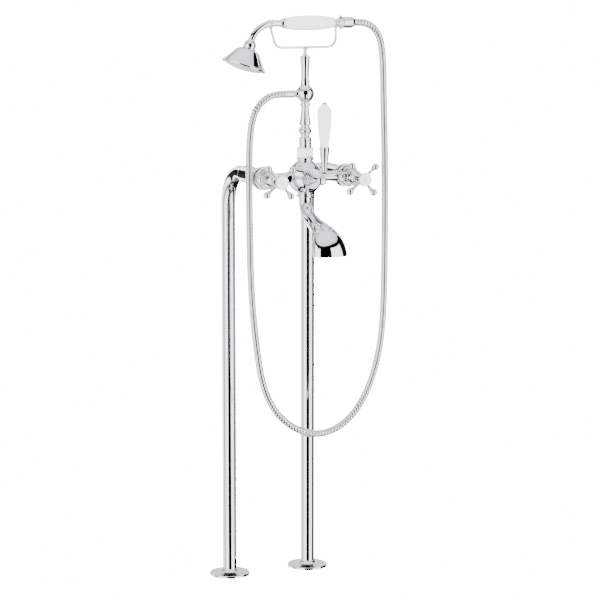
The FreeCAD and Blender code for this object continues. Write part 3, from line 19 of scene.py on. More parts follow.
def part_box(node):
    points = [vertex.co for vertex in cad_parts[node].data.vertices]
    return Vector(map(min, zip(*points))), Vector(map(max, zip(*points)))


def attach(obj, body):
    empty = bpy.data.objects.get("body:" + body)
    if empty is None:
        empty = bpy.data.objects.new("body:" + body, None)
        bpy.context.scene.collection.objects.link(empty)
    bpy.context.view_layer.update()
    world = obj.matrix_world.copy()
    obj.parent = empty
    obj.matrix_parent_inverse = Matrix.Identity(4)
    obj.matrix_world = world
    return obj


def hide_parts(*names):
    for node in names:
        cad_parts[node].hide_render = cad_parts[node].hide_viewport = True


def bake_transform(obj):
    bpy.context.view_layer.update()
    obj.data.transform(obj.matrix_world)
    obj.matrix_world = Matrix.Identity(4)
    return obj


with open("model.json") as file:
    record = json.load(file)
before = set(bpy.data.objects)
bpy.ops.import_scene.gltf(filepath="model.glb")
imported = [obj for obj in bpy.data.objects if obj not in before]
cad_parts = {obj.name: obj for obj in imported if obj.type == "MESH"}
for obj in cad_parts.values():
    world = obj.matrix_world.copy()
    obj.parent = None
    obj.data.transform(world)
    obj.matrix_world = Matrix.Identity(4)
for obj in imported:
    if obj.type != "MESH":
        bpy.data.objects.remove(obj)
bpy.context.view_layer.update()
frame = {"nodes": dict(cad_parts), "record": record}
MM = 0.001


# %% [markdown]
# ## Places taken from the imported model
#
# A turned piece's axis runs through the middle of its box, so the boxes of the caps and of
# the riser's collar give the valves' and the riser's axes. What is listed, such as the
# hose's route and the head's seat, stands in its own section.

# %% Axes and heights, in metres
def middle(node):
    low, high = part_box(node)
    return (low + high) / 2


VALVES = {side: middle(f"{side}_index_cap") for side in ("hot", "cold")}
VALVE_Z = VALVES["hot"].z
BODY_Y = middle("riser_collar").y
FRONT = Vector((0, -1, 0))
UP = Vector((0, 0, 1))
RIGHT = Vector((1, 0, 0))
print("valve height %.1f mm, body plane %.1f mm" % (VALVE_Z / MM, BODY_Y / MM))


# %% [markdown]
# ## The camera
#
# The photograph looks a little down on the filler from the front left. A long lens from
# over four metres away keeps its upright pipes upright without any lens shift, so every other
# view stays centred as well.

# %% Camera
CAMERA_PLACE = Vector((-1.5767, -3.9034, 1.1382))
CAMERA_TURN = math.radians(-22.76)
CAMERA_PITCH = math.radians(8.75)
FRAME_PIXELS = 600
FOCAL_PIXELS = 2410.0
SENSOR_WIDTH = 36.0

camera_data = bpy.data.cameras.new("camera")
camera = bpy.data.objects.new("camera", camera_data)
bpy.context.scene.collection.objects.link(camera)
bpy.context.scene.camera = camera
camera_data.sensor_width = SENSOR_WIDTH
camera_data.lens = camera_data.sensor_width * FOCAL_PIXELS / FRAME_PIXELS
camera.location = CAMERA_PLACE
camera.rotation_euler = (math.pi / 2 - CAMERA_PITCH, 0, CAMERA_TURN)
print("lens %.1f mm" % camera_data.lens)


# %% [markdown]
# ## Colours and node helpers
#
# A colour is written as an sRGB hex value, which is how it is read off a sample card, and
# one function turns it into the linear values that the shader wants. A second one adds
# a node with its settings and links, so that a material reads as a short list.

# %% Colour and node helpers
def linear(hex_colour):
    """The linear RGBA of an sRGB hex colour."""
    values = [int(hex_colour[i:i + 2], 16) / 255 for i in (1, 3, 5)]
    channels = [v / 12.92 if v <= 0.04045 else ((v + 0.055) / 1.055) ** 2.4 for v in values]
    return (*channels, 1.0)


def node(tree, kind, inputs=(), **settings):
    """Adds one node. inputs maps a socket to a value or to another node's output."""
    made = tree.nodes.new(kind)
    for name, value in settings.items():
        setattr(made, name, value)
    for socket, value in dict(inputs).items():
        if isinstance(value, bpy.types.NodeSocket):
            tree.links.new(value, made.inputs[socket])
        else:
            made.inputs[socket].default_value = value
    return made


def ramp(tree, factor, stops):
    """A colour ramp through (place, hex colour) stops."""
    made = node(tree, "ShaderNodeValToRGB", {"Fac": factor})
    elements = made.color_ramp.elements
    elements.remove(elements[-1])
    elements[0].position = stops[0][0]
    elements[0].color = linear(stops[0][1])
    for place, colour in stops[1:]:
        elements.new(place).color = linear(colour)
    return made


def new_material(name):
    """A material with its principled shader, its tree, and object coordinates in metres."""
    material = bpy.data.materials.new(name)
    material.use_nodes = True
    tree = material.node_tree
    shader = tree.nodes["Principled BSDF"]
    place = node(tree, "ShaderNodeTexCoord").outputs["Object"]
    return material, tree, shader, place


# %% [markdown]
# ## Polished chrome plate
#
# Traditional taps are brass, turned or cast, polished on a mop and plated with nickel and
# a thin bright chromium layer. The eye gets a neutral mirror, a trace blue in the darks.
# Mop polishing leaves the surface very slightly wavy, at about a centimetre, and handling
# leaves faint smears that only widen the reflection a little. No mopped edge stays sharp,
# so a bevel node rounds the edges by half a millimetre where the light meets them. A drawn
# tube has no edges, and its waves are longer and shallower.

# %% Chrome materials
EDGE_RADIUS = 0.45 * MM
EDGE_SAMPLES = 6
SMEAR_SIZE = 25 * MM
SMEAR_FROM = 0.35
SMEAR_TO = 0.7


def chrome(name, colour, roughness, wave_mm, wave_depth, smear, rounds_edges=True):
    material, tree, shader, place = new_material(name)
    shader.inputs["Metallic"].default_value = 1.0
    shader.inputs["Base Color"].default_value = linear(colour)
    smears = node(tree, "ShaderNodeTexNoise",
                  {"Vector": place, "Scale": 1 / SMEAR_SIZE, "Detail": 4.0})
    rough = node(tree, "ShaderNodeMapRange",
                 {"Value": smears.outputs["Fac"], "From Min": SMEAR_FROM, "From Max": SMEAR_TO,
                  "To Min": roughness, "To Max": roughness + smear})
    tree.links.new(rough.outputs["Result"], shader.inputs["Roughness"])
    waves = node(tree, "ShaderNodeTexNoise",
                 {"Vector": place, "Scale": 1 / (wave_mm * MM), "Detail": 1.0})
    bump = node(tree, "ShaderNodeBump",
                {"Height": waves.outputs["Fac"], "Strength": 1.0, "Distance": wave_depth * MM})
    if rounds_edges:
        edge = node(tree, "ShaderNodeBevel", {"Radius": EDGE_RADIUS}, samples=EDGE_SAMPLES)
        tree.links.new(edge.outputs["Normal"], bump.inputs["Normal"])
    tree.links.new(bump.outputs["Normal"], shader.inputs["Normal"])
    return material


CHROME = chrome("polished_chrome_plate", "#F0F1F4", 0.03, 14, 0.05, 0.05)
PIPE_CHROME = chrome("drawn_tube_chrome_plate", "#F0F1F4", 0.03, 40, 0.015, 0.03, False)
HOSE_CHROME = chrome("wound_strip_chrome_plate", "#E4E6EA", 0.05, 5, 0.02, 0.05)
print("chrome materials made")


# %% [markdown]
# ## Glazed porcelain
#
# The handles' grips and buttons are slip-cast porcelain under a clear glaze. The body
# scatters light just under the glaze, which softens its shading, and the glaze is a
# smooth glass coat. A very faint mottle keeps it from looking like paint.

# %% Porcelain
MOTTLE_SIZE = 6 * MM
GLAZE_RIPPLE_SIZE = 9 * MM
GLAZE_RIPPLE_DEPTH = 0.03 * MM
GLAZE_INDEX = 1.5
SCATTER_SHARE = 0.25
SCATTER_DEPTH = 1.5 * MM


def porcelain():
    material, tree, shader, place = new_material("glazed_porcelain")
    mottle = node(tree, "ShaderNodeTexNoise",
                  {"Vector": place, "Scale": 1 / MOTTLE_SIZE, "Detail": 5.0})
    tint = ramp(tree, mottle.outputs["Fac"], ((0.3, "#F1F1EF"), (0.7, "#F9F9F8")))
    tree.links.new(tint.outputs["Color"], shader.inputs["Base Color"])
    shader.inputs["Roughness"].default_value = 0.22
    shader.inputs["IOR"].default_value = GLAZE_INDEX
    shader.inputs["Subsurface Weight"].default_value = SCATTER_SHARE
    shader.inputs["Subsurface Radius"].default_value = (1.0, 0.9, 0.8)
    shader.inputs["Subsurface Scale"].default_value = SCATTER_DEPTH
    shader.inputs["Coat Weight"].default_value = 0.7
    shader.inputs["Coat Roughness"].default_value = 0.04
    ripple = node(tree, "ShaderNodeTexNoise", {"Vector": place, "Scale": 1 / GLAZE_RIPPLE_SIZE})
    bump = node(tree, "ShaderNodeBump",
                {"Height": ripple.outputs["Fac"], "Strength": 1.0,
                 "Distance": GLAZE_RIPPLE_DEPTH})
    tree.links.new(bump.outputs["Normal"], shader.inputs["Normal"])
    return material


PORCELAIN = porcelain()


# %% [markdown]
# ## The plainer finishes
#
# Rubber washers, machined brass, plate steel, lapped alumina discs and the grey enamel of
# the cap letters show little or not at all, but each is still its own material, with the
# grain that its making leaves.

# %% Rubber, brass, steel, alumina and enamel
ROUGHNESS_SPREAD = 0.2


def grained(name, dark, light, grain_mm, metallic, roughness, depth_mm, stretch=(1, 1, 1)):
    material, tree, shader, place = new_material(name)
    spread = node(tree, "ShaderNodeMapping", {"Vector": place, "Scale": stretch})
    grain = node(tree, "ShaderNodeTexNoise",
                 {"Vector": spread.outputs["Vector"], "Scale": 1 / (grain_mm * MM),
                  "Detail": 6.0, "Roughness": 0.6})
    tint = ramp(tree, grain.outputs["Fac"], ((0.3, dark), (0.7, light)))
    tree.links.new(tint.outputs["Color"], shader.inputs["Base Color"])
    shader.inputs["Metallic"].default_value = metallic
    rough = node(tree, "ShaderNodeMapRange",
                 {"Value": grain.outputs["Fac"],
                  "To Min": roughness * (1 - ROUGHNESS_SPREAD),
                  "To Max": roughness * (1 + ROUGHNESS_SPREAD)})
    tree.links.new(rough.outputs["Result"], shader.inputs["Roughness"])
    bump = node(tree, "ShaderNodeBump",
                {"Height": grain.outputs["Fac"], "Strength": 1.0, "Distance": depth_mm * MM})
    tree.links.new(bump.outputs["Normal"], shader.inputs["Normal"])
    return material


RUBBER = grained("moulded_rubber", "#17181A", "#232426", 0.4, 0.0, 0.7, 0.02)
BRASS = grained("machined_brass", "#B08A45", "#D0AE66", 0.5, 1.0, 0.28, 0.01, (1, 1, 8))
STEEL = grained("rolled_plate_steel", "#8F9296", "#A7AAAE", 0.6, 1.0, 0.38, 0.015, (6, 1, 1))
ALUMINA = grained("lapped_alumina", "#E4E2DC", "#F0EEEA", 0.3, 0.0, 0.18, 0.003)
ENAMEL = grained("grey_letter_enamel", "#6E7276", "#7B7F84", 0.3, 0.0, 0.3, 0.004)
NOZZLE_FACE = grained("satin_nozzle_plate", "#A9ACB0", "#BFC2C6", 0.8, 1.0, 0.3, 0.01)
print("materials:", len(bpy.data.materials))


# %% [markdown]
# ## Turned pieces
#
# What this script turns again comes off a lathe, so one function makes it: an outline of
# (radius, height) corners, spun about an axis. A third number rounds a corner, since a
# real edge always carries a small radius, and that radius is what catches the light.

# %% The lathe
ROUND_STEPS = 5
TURN_STEPS = 96
ON_AXIS = 1e-6
ROUND_LIMIT = 0.49
NEARLY_ALONG = 0.9


def rounded(outline, closed):
    """Replaces each corner that has a rounding radius by a short arc."""
    corners = [Vector((c[0], c[1])) for c in outline]
    radii = [c[2] if len(c) > 2 else 0.0 for c in outline]
    points = []
    for i, (corner, radius) in enumerate(zip(corners, radii)):
        at_end = not closed and i in (0, len(corners) - 1)
        before = corners[i - 1]
        after = corners[(i + 1) % len(corners)]
        if radius == 0 or at_end:
            points.append(corner)
            continue
        coming = (before - corner).normalized()
        going = (after - corner).normalized()
        half = coming.angle(going) / 2
        reach = radius / math.tan(half)
        shortest = min((before - corner).length, (after - corner).length)
        reach = min(reach, ROUND_LIMIT * shortest)
        real = reach * math.tan(half)
        centre = corner + (coming + going).normalized() * (real / math.sin(half))
        start = corner + coming * reach - centre
        stop = corner + going * reach - centre
        sweep = start.angle_signed(stop)
        for step in range(ROUND_STEPS + 1):
            turn = Matrix.Rotation(-sweep * step / ROUND_STEPS, 2)
            points.append(centre + turn @ start)
    return points


def placed(origin, axis):
    """The matrix that sets a piece's own Z along axis at origin."""
    across = RIGHT if abs(axis.dot(RIGHT)) < NEARLY_ALONG else UP
    side = (across - axis * across.dot(axis)).normalized()
    up = axis.cross(side)
    basis = Matrix((side, up, axis)).transposed().to_4x4()
    return Matrix.Translation(origin) @ basis


def lathe_mesh(outline, closed=False, steps=TURN_STEPS):
    """A mesh turned from an outline in millimetres. An open outline starts and ends on
    the axis; a closed one is a ring."""
    points = rounded(outline, closed)
    shape = bmesh.new()
    rings = []
    for radius, height in points:
        if radius < ON_AXIS:
            rings.append([shape.verts.new((0, 0, height * MM))])
            continue
        ring = []
        for step in range(steps):
            angle = 2 * math.pi * step / steps
            spot = (radius * math.cos(angle), radius * math.sin(angle), height)
            ring.append(shape.verts.new(Vector(spot) * MM))
        rings.append(ring)
    pairs = list(zip(rings, rings[1:]))
    if closed:
        pairs.append((rings[-1], rings[0]))
    for low, high in pairs:
        for step in range(steps):
            after = (step + 1) % steps
            if len(low) == 1:
                shape.faces.new((low[0], high[after], high[step]))
            elif len(high) == 1:
                shape.faces.new((low[step], low[after], high[0]))
            else:
                shape.faces.new((low[step], low[after], high[after], high[step]))
    bmesh.ops.recalc_face_normals(shape, faces=shape.faces)
    return shape


SHARP_ANGLE = math.radians(32)


def finish_piece(name, shape, matrix, body, material, replaced=()):
    """Makes an object of a bmesh, smooths it, and hands it to its body."""
    shape.transform(matrix)
    mesh = bpy.data.meshes.new(name)
    shape.to_mesh(mesh)
    shape.free()
    for polygon in mesh.polygons:
        polygon.use_smooth = True
    mesh.set_sharp_from_angle(angle=SHARP_ANGLE)
    mesh.materials.append(material)
    piece = bpy.data.objects.new(name, mesh)
    bpy.context.scene.collection.objects.link(piece)
    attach(piece, body)
    if replaced:
        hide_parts(*replaced)


def turned(name, outline, origin, axis, body, material=CHROME, closed=False,
           replaced=()):
    """A turned piece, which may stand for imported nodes."""
    shape = lathe_mesh(outline, closed)
    finish_piece(name, shape, placed(origin, axis), body, material, replaced)


# %% [markdown]
# ## Tubes along a line
#
# A pipe is a circle carried along straight runs and arcs. The rings keep a steady side
# direction, since such a line lies in one plane, so nothing twists.

# %% Tubes
def smooth_line(corners, bends, steps):
    """Points along straight runs joined by arcs of the given radii, in metres."""
    points = [corners[0]]
    for before, corner, after, radius in zip(corners, corners[1:], corners[2:], bends):
        coming = (before - corner).normalized()
        going = (after - corner).normalized()
        half = coming.angle(going) / 2
        reach = radius / math.tan(half)
        centre = corner + (coming + going).normalized() * (radius / math.sin(half))
        start = corner + coming * reach - centre
        turn = math.pi - 2 * half
        axis = (-coming).cross(going).normalized()
        for step in range(steps + 1):
            points.append(centre + Matrix.Rotation(turn * step / steps, 3, axis) @ start)
    points.append(corners[-1])
    return points


def ring_about(shape, point, across, up, radii):
    """A ring of vertices about a point, one for each radius."""
    ring = []
    for step, radius in enumerate(radii):
        angle = 2 * math.pi * step / len(radii)
        offset = across * math.cos(angle) + up * math.sin(angle)
        ring.append(shape.verts.new(point + offset * radius))
    return ring


def skin(shape, rings):
    """Joins rings of equal count to one closed tube with flat ends."""
    for low, high in zip(rings, rings[1:]):
        for step in range(len(low)):
            after = (step + 1) % len(low)
            shape.faces.new((low[step], low[after], high[after], high[step]))
    shape.faces.new(reversed(rings[0]))
    shape.faces.new(rings[-1])
    bmesh.ops.recalc_face_normals(shape, faces=shape.faces)


def tube_mesh(line, side, ring_radii):
    """A closed tube along a line. ring_radii(number) gives the radii round one ring."""
    shape = bmesh.new()
    rings = []
    for i, point in enumerate(line):
        before = line[max(i - 1, 0)]
        after = line[min(i + 1, len(line) - 1)]
        heading = (after - before).normalized()
        across = (side - heading * side.dot(heading)).normalized()
        up = heading.cross(across)
        rings.append(ring_about(shape, point, across, up, ring_radii(i)))
    skin(shape, rings)
    return shape


# %% [markdown]
# ## The hose
#
# A chromed shower hose is a brass strip wound in a spiral so that its edges hook into each
# other. From outside it is a row of rounded bands with a narrow dark groove between them,
# and the bands run round the hose as one long screw. The route is a soft NURBS line with
# the points of the imported hose, because a hanging hose never shows a straight run joined to
# an arc. On the two hanging stretches they are moved a few millimetres. The bands
# are then laid round points read from that line.

# %% The hose's line
HOSE_DIAMETER = 12.7 * MM
HOSE_ROUTE = [
    (-0.0385, 0.8650), (-0.0535, 0.8650), (-0.0690, 0.8596), (-0.0830, 0.8485),
    (-0.0945, 0.8290), (-0.1000, 0.7960), (-0.1015, 0.7450), (-0.1010, 0.6600),
    (-0.0990, 0.5350), (-0.0885, 0.4300), (-0.0760, 0.3620), (-0.0490, 0.3140),
    (-0.0050, 0.2830), (0.0430, 0.2780), (0.0890, 0.3040), (0.1210, 0.3540),
    (0.1395, 0.4140), (0.1475, 0.4850), (0.1490, 0.6050), (0.1485, 0.7350),
    (0.1465, 0.8120), (0.1450, 0.8680), (0.1440, 0.9080), (0.1420, 0.9360),
    (0.1380, 0.9550), (0.1305, 0.9685), (0.1200, 0.9780), (0.1055, 0.9830),
    (0.0905, 0.9830),
]
HOSE_RESOLUTION = 12


def nurbs_points(name, route, resolution):
    """Points along a NURBS line through the middle of a route, ends kept."""
    line = bpy.data.curves.new(name, "CURVE")
    line.dimensions = "3D"
    line.resolution_u = resolution
    spline = line.splines.new("NURBS")
    spline.points.add(len(route) - 1)
    for point, place in zip(spline.points, route):
        point.co = (*place, 1.0)
    spline.order_u = 3
    spline.use_endpoint_u = True
    holder = bpy.data.objects.new(name, line)
    mesh = bpy.data.meshes.new_from_object(holder)
    points = [vertex.co.copy() for vertex in mesh.vertices]
    bpy.data.objects.remove(holder)
    bpy.data.meshes.remove(mesh)
    return points


hose_line = nurbs_points("hose_line", [(x, BODY_Y, z) for x, z in HOSE_ROUTE],
                         HOSE_RESOLUTION)


# %% [markdown]
# ## The hose's bands
#
# Each ring of the mesh follows the line, and every point of it is moved in or out by its
# place in the wound strip: along the hose plus a share of the turn round it. That makes the
# bands one screw instead of separate rings, as the winding machine does.

# %% The wound strip
BAND_PITCH = 5.9 * MM
BAND_STEPS = 8
BAND_DEPTH = 1.35 * MM
GROOVE_SHARE = 0.42
HOSE_SIDES = 28


def groove_depth(place):
    """How deep the strip lies, as a share, at a place from 0 to 1: a groove, then a crown."""
    if place >= GROOVE_SHARE:
        return 0.0
    return 0.5 - 0.5 * math.cos(2 * math.pi * place / GROOVE_SHARE)


def even_points(line, spacing):
    """Points at even spacing along a line, its end included."""
    lengths = [0.0]
    for before, after in zip(line, line[1:]):
        lengths.append(lengths[-1] + (after - before).length)
    count = round(lengths[-1] / spacing)
    points = []
    number = 0
    for step in range(count + 1):
        distance = lengths[-1] * step / count
        while number + 2 < len(lengths) and distance > lengths[number + 1]:
            number += 1
        share = (distance - lengths[number]) / (lengths[number + 1] - lengths[number])
        points.append(line[number].lerp(line[number + 1], share))
    return points


def band_radii(number):
    """The hose's radii round one ring: the band winds one pitch in a whole turn."""
    places = [(number / BAND_STEPS + side / HOSE_SIDES) % 1.0 for side in range(HOSE_SIDES)]
    return [HOSE_DIAMETER / 2 - BAND_DEPTH * groove_depth(place) for place in places]


hose_points = even_points(hose_line, BAND_PITCH / BAND_STEPS)
hose_shape = tube_mesh(hose_points, FRONT, band_radii)
hose_mesh = bpy.data.meshes.new("wound_hose")
hose_shape.to_mesh(hose_mesh)
hose_shape.free()
hose_mesh.materials.append(HOSE_CHROME)
for polygon in hose_mesh.polygons:
    polygon.use_smooth = True
wound = bpy.data.objects.new("wound_hose", hose_mesh)
bpy.context.scene.collection.objects.link(wound)
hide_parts("hose")
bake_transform(wound)


# %% [markdown]
# ## The white tent
#
# Chrome has no colour of its own: it shows the room. The photograph's chrome is white with
# a few hard black streaks, which is what a white tent with dark flags gives. The sky here
# is such a tent. Below the horizon, which is what upright tubes show, and above it, which
# the shoulders of balls and domes show, the flags differ a little. They end at a dark ring
# where the tent's roof begins, and the roof is grey. Each flag is a compass heading, a
# width and a tone. The camera itself sees plain white, and the light that falls on matt
# and glazed pieces is even.

# %% The tent
TENT_STRENGTH = 3.6
BACKDROP_STRENGTH = 6.0
FILL_STRENGTH = 1.15
LOW_FLAGS = [
    (-176.5, 5, "#7E8083"),
    (-103, 44, "#010101"),
    (20, 96, "#0A0A0B"),
    (112, 14, "#1A1A1B"),
    (165, 24, "#7E8083"),
]
HIGH_FLAGS = [
    (-104, 56, "#010101"),
    (2, 50, "#0A0A0B"),
    (64, 46, "#A4A5A8"),
    (112, 14, "#0C0C0D"),
    (148, 40, "#7E8083"),
]
WHITE = "#FFFFFF"
FLAG_EDGE = 3.0
HORIZON_SHARE = 0.04
ROOF_FROM = 0.6
ROOF_TO = 0.66
HEIGHT_TONES = (
    (0.0, "#B0B1B4"), (0.025, "#B0B1B4"), (0.035, "#0E0E0F"), (0.07, "#0E0E0F"),
    (0.085, "#C8C9CC"), (0.25, WHITE), (0.76, WHITE), (0.775, "#020202"),
    (0.83, "#020202"), (0.845, "#A8AAAD"), (1.0, "#C2C4C8"),
)


def heading_stops(flags, edge):
    """Ramp stops from -180 to 180 degrees: white with a dark flag at each heading."""
    stops = []
    for heading, width, colour in flags:
        for turn, tone in ((-width / 2 - edge, WHITE), (-width / 2, colour),
                           (width / 2, colour), (width / 2 + edge, WHITE)):
            stops.append(((heading + turn + 180) / 360, tone))
    return [(0.0, stops[0][1])] + [stop for stop in stops if 0 < stop[0] < 1] + [(1.0, WHITE)]


def mixed(tree, factor, first, second, blend_type="MIX"):
    """Mixes two colours, each a colour or another node's output."""
    made = node(tree, "ShaderNodeMix", data_type="RGBA", blend_type=blend_type)
    colour_sockets = {"Factor": made.inputs[0], "A": made.inputs[6], "B": made.inputs[7]}
    for name, value in (("Factor", factor), ("A", first), ("B", second)):
        if isinstance(value, bpy.types.NodeSocket):
            tree.links.new(value, colour_sockets[name])
        else:
            colour_sockets[name].default_value = value
    return made.outputs[2]


def white_tent():
    world = bpy.data.worlds.new("white_tent")
    bpy.context.scene.world = world
    world.use_nodes = True
    tree = world.node_tree
    background = tree.nodes["Background"]
    place = node(tree, "ShaderNodeTexCoord").outputs["Generated"]
    parts = node(tree, "ShaderNodeSeparateXYZ", {"Vector": place})
    around = node(tree, "ShaderNodeMath", {0: parts.outputs["Y"], 1: parts.outputs["X"]},
                  operation="ARCTAN2")
    turn = node(tree, "ShaderNodeMapRange",
                {"Value": around.outputs["Value"], "From Min": -math.pi, "From Max": math.pi})
    low_walls = ramp(tree, turn.outputs["Result"], heading_stops(LOW_FLAGS, FLAG_EDGE))
    high_walls = ramp(tree, turn.outputs["Result"], heading_stops(HIGH_FLAGS, FLAG_EDGE))
    above = node(tree, "ShaderNodeMapRange",
                 {"Value": parts.outputs["Z"], "From Min": -HORIZON_SHARE,
                  "From Max": HORIZON_SHARE})
    walls = mixed(tree, above.outputs["Result"], low_walls.outputs["Color"],
                  high_walls.outputs["Color"])
    height = node(tree, "ShaderNodeMapRange",
                  {"Value": parts.outputs["Z"], "From Min": -1.0, "From Max": 1.0})
    bands = ramp(tree, height.outputs["Result"], HEIGHT_TONES)
    roof = node(tree, "ShaderNodeMapRange",
                {"Value": parts.outputs["Z"], "From Min": ROOF_FROM, "From Max": ROOF_TO})
    flagged = mixed(tree, roof.outputs["Result"], walls, linear(WHITE))
    tent = mixed(tree, 1.0, flagged, bands.outputs["Color"], "MULTIPLY")
    path = node(tree, "ShaderNodeLightPath").outputs
    fill = (FILL_STRENGTH, FILL_STRENGTH, FILL_STRENGTH, 1.0)
    backdrop = (BACKDROP_STRENGTH, BACKDROP_STRENGTH, BACKDROP_STRENGTH, 1.0)
    lit = mixed(tree, path["Is Diffuse Ray"], tent, fill)
    shown = mixed(tree, path["Is Camera Ray"], lit, backdrop)
    tree.links.new(shown, background.inputs["Color"])
    background.inputs["Strength"].default_value = TENT_STRENGTH


white_tent()
print("tent with %d low flags and %d high ones" % (len(LOW_FLAGS), len(HIGH_FLAGS)))


# %% [markdown]
# ## The floor
#
# The floor is a wide white sheet that glows past white, as the backdrop does, so that no
# edge of it shows. Neither chrome nor porcelain is lit by it. It isn't part of the filler.

# %% The floor
FLOOR_RADIUS = 14.0
FLOOR_GLOW = 24.0
FLOOR_DROP = 0.5 * MM
FLOOR_SIDES = 96
FLOOR_MOTTLE_SCALE = 3.0


def pale_floor():
    material, tree, shader, place = new_material("pale_floor")
    mottle = node(tree, "ShaderNodeTexNoise", {"Vector": place, "Scale": FLOOR_MOTTLE_SCALE,
                                              "Detail": 3.0})
    tint = ramp(tree, mottle.outputs["Fac"], ((0.3, "#FAFAFA"), (0.7, "#FFFFFF")))
    tree.links.new(tint.outputs["Color"], shader.inputs["Base Color"])
    shader.inputs["Roughness"].default_value = 0.9
    shader.inputs["Specular IOR Level"].default_value = 0.0
    shader.inputs["Emission Color"].default_value = linear(WHITE)
    shader.inputs["Emission Strength"].default_value = FLOOR_GLOW
    shape = bmesh.new()
    bmesh.ops.create_circle(shape, cap_ends=True, segments=FLOOR_SIDES, radius=FLOOR_RADIUS)
    mesh = bpy.data.meshes.new("floor")
    shape.to_mesh(mesh)
    shape.free()
    mesh.materials.append(material)
    sheet = bpy.data.objects.new("floor", mesh)
    sheet.location = (0, 0, -FLOOR_DROP)
    sheet.visible_glossy = False
    sheet.visible_diffuse = False
    bpy.context.scene.collection.objects.link(sheet)


pale_floor()
print("floor laid")


# %% [markdown]
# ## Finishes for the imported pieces
#
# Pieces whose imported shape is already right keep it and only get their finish. The record
# names a slot for each, and drawn tubes get the longer polishing waves of a tube.

# %% Finishes by slot
SLOT_FINISHES = {
    "chrome": CHROME,
    "hose_steel": HOSE_CHROME,
    "spray_face": NOZZLE_FACE,
    "porcelain": PORCELAIN,
    "plate_steel": STEEL,
    "bare_brass": BRASS,
    "ceramic": ALUMINA,
    "rubber": RUBBER,
}
DRAWN_TUBES = ("standpipe_left", "standpipe_right", "handset_neck")

for row in frame["record"]["subparts"]:
    finish = PIPE_CHROME if row["node"] in DRAWN_TUBES else SLOT_FINISHES[row["material_slot"]]
    for holder in frame["nodes"][row["node"]].material_slots:
        holder.material = finish


# %% [markdown]
# ## The standpipes
#
# Each standpipe is one drawn tube, bent forward at the top on a former. A streak of
# reflection runs its whole length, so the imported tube's facets would show as a jagged
# line. It is drawn again as one smooth tube along the same centre line.

# %% Smooth standpipes
PIPE_RADIUS = 12.5 * MM
PIPE_BEND = 62.0 * MM
PIPE_SIDES = 64
PIPE_BEND_STEPS = 28
for side in ("left", "right"):
    low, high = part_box(f"standpipe_{side}")
    across = (low.x + high.x) / 2
    corners = [Vector((across, 0, low.z)), Vector((across, 0, VALVE_Z)),
               Vector((across, low.y, VALVE_Z))]
    line = smooth_line(corners, [PIPE_BEND], PIPE_BEND_STEPS)
    shape = tube_mesh(line, RIGHT, lambda number: [PIPE_RADIUS] * PIPE_SIDES)
    finish_piece(f"smooth_standpipe_{side}", shape, Matrix.Identity(4), "stand", PIPE_CHROME,
                 (f"standpipe_{side}",))
    print("standpipe %s: %.0f mm high, %.0f mm forward" % (side, high.z / MM, -low.y / MM))


# %% [markdown]
# ## The caps of the cross handles
#
# Each cross handle has a porcelain button held in a thin chrome bezel, with the letter of
# its water in grey enamel. The bezel is a turned ring, and the domed button fills it, as
# the real button is glued into its bezel.

# %% Bezels and buttons
CAP_RADIUS = 12.0
CAP_EDGE = 3.4
CAP_DOME = 2.4
PLUG_RADIUS = 5.0
PLUG_DEPTH = 3.0
PLUG_ROUND = 0.3
BUTTON_RADIUS = 10.7
BEZEL_ROUND = 0.6
BEZEL_LIP_ROUND = 0.3
BEZEL_DROP = 0.3
BEZEL_RISE = 0.1


def dome_height(radius):
    """The height of the button's face at a radius, above the plane of the cap's back."""
    globe = (BUTTON_RADIUS ** 2 + CAP_DOME ** 2) / (2 * CAP_DOME)
    return CAP_EDGE + CAP_DOME - globe + math.sqrt(globe ** 2 - radius ** 2)


def dome_outline(steps=10):
    return [(BUTTON_RADIUS * (1 - step / steps),
             dome_height(BUTTON_RADIUS * (1 - step / steps))) for step in range(steps + 1)]


def cap_seat(side):
    """The middle of a cap's back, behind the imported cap's front."""
    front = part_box(f"{side}_index_cap")[0].y
    return Vector((VALVES[side].x, front + (CAP_EDGE + CAP_DOME) * MM, VALVE_Z))


for side in ("hot", "cold"):
    seat = cap_seat(side)
    turned(f"{side}_cap_bezel", [
        (BUTTON_RADIUS, 0.0), (CAP_RADIUS, 0.0, BEZEL_ROUND),
        (CAP_RADIUS, CAP_EDGE - BEZEL_DROP, BEZEL_ROUND),
        (BUTTON_RADIUS, CAP_EDGE + BEZEL_RISE, BEZEL_LIP_ROUND),
    ], seat, FRONT, f"{side}_handle", closed=True)
    turned(f"{side}_cap_button", [
        (0.0, -PLUG_DEPTH), (PLUG_RADIUS, -PLUG_DEPTH, PLUG_ROUND), (PLUG_RADIUS, 0.0),
        (BUTTON_RADIUS, 0.0), *dome_outline(),
    ], seat, FRONT, f"{side}_handle", PORCELAIN, replaced=(f"{side}_index_cap",))
print("caps: 2 bezels and 2 buttons")


# %% [markdown]
# ## The letters
#
# The letters come from Blender's own type, drawn as a flat shape with a little thickness.
# Every point is then lifted on to the dome, so that the enamel lies on the glaze instead of
# cutting through it.

# %% H and C
LETTER_HEIGHT = 6.6 * MM
LETTER_THICKNESS = 0.12
CAPITAL_SHARE = 0.7
LETTER_LIFT = 0.3
LETTER_RESOLUTION = 8
WELD_DISTANCE = 0.001 * MM


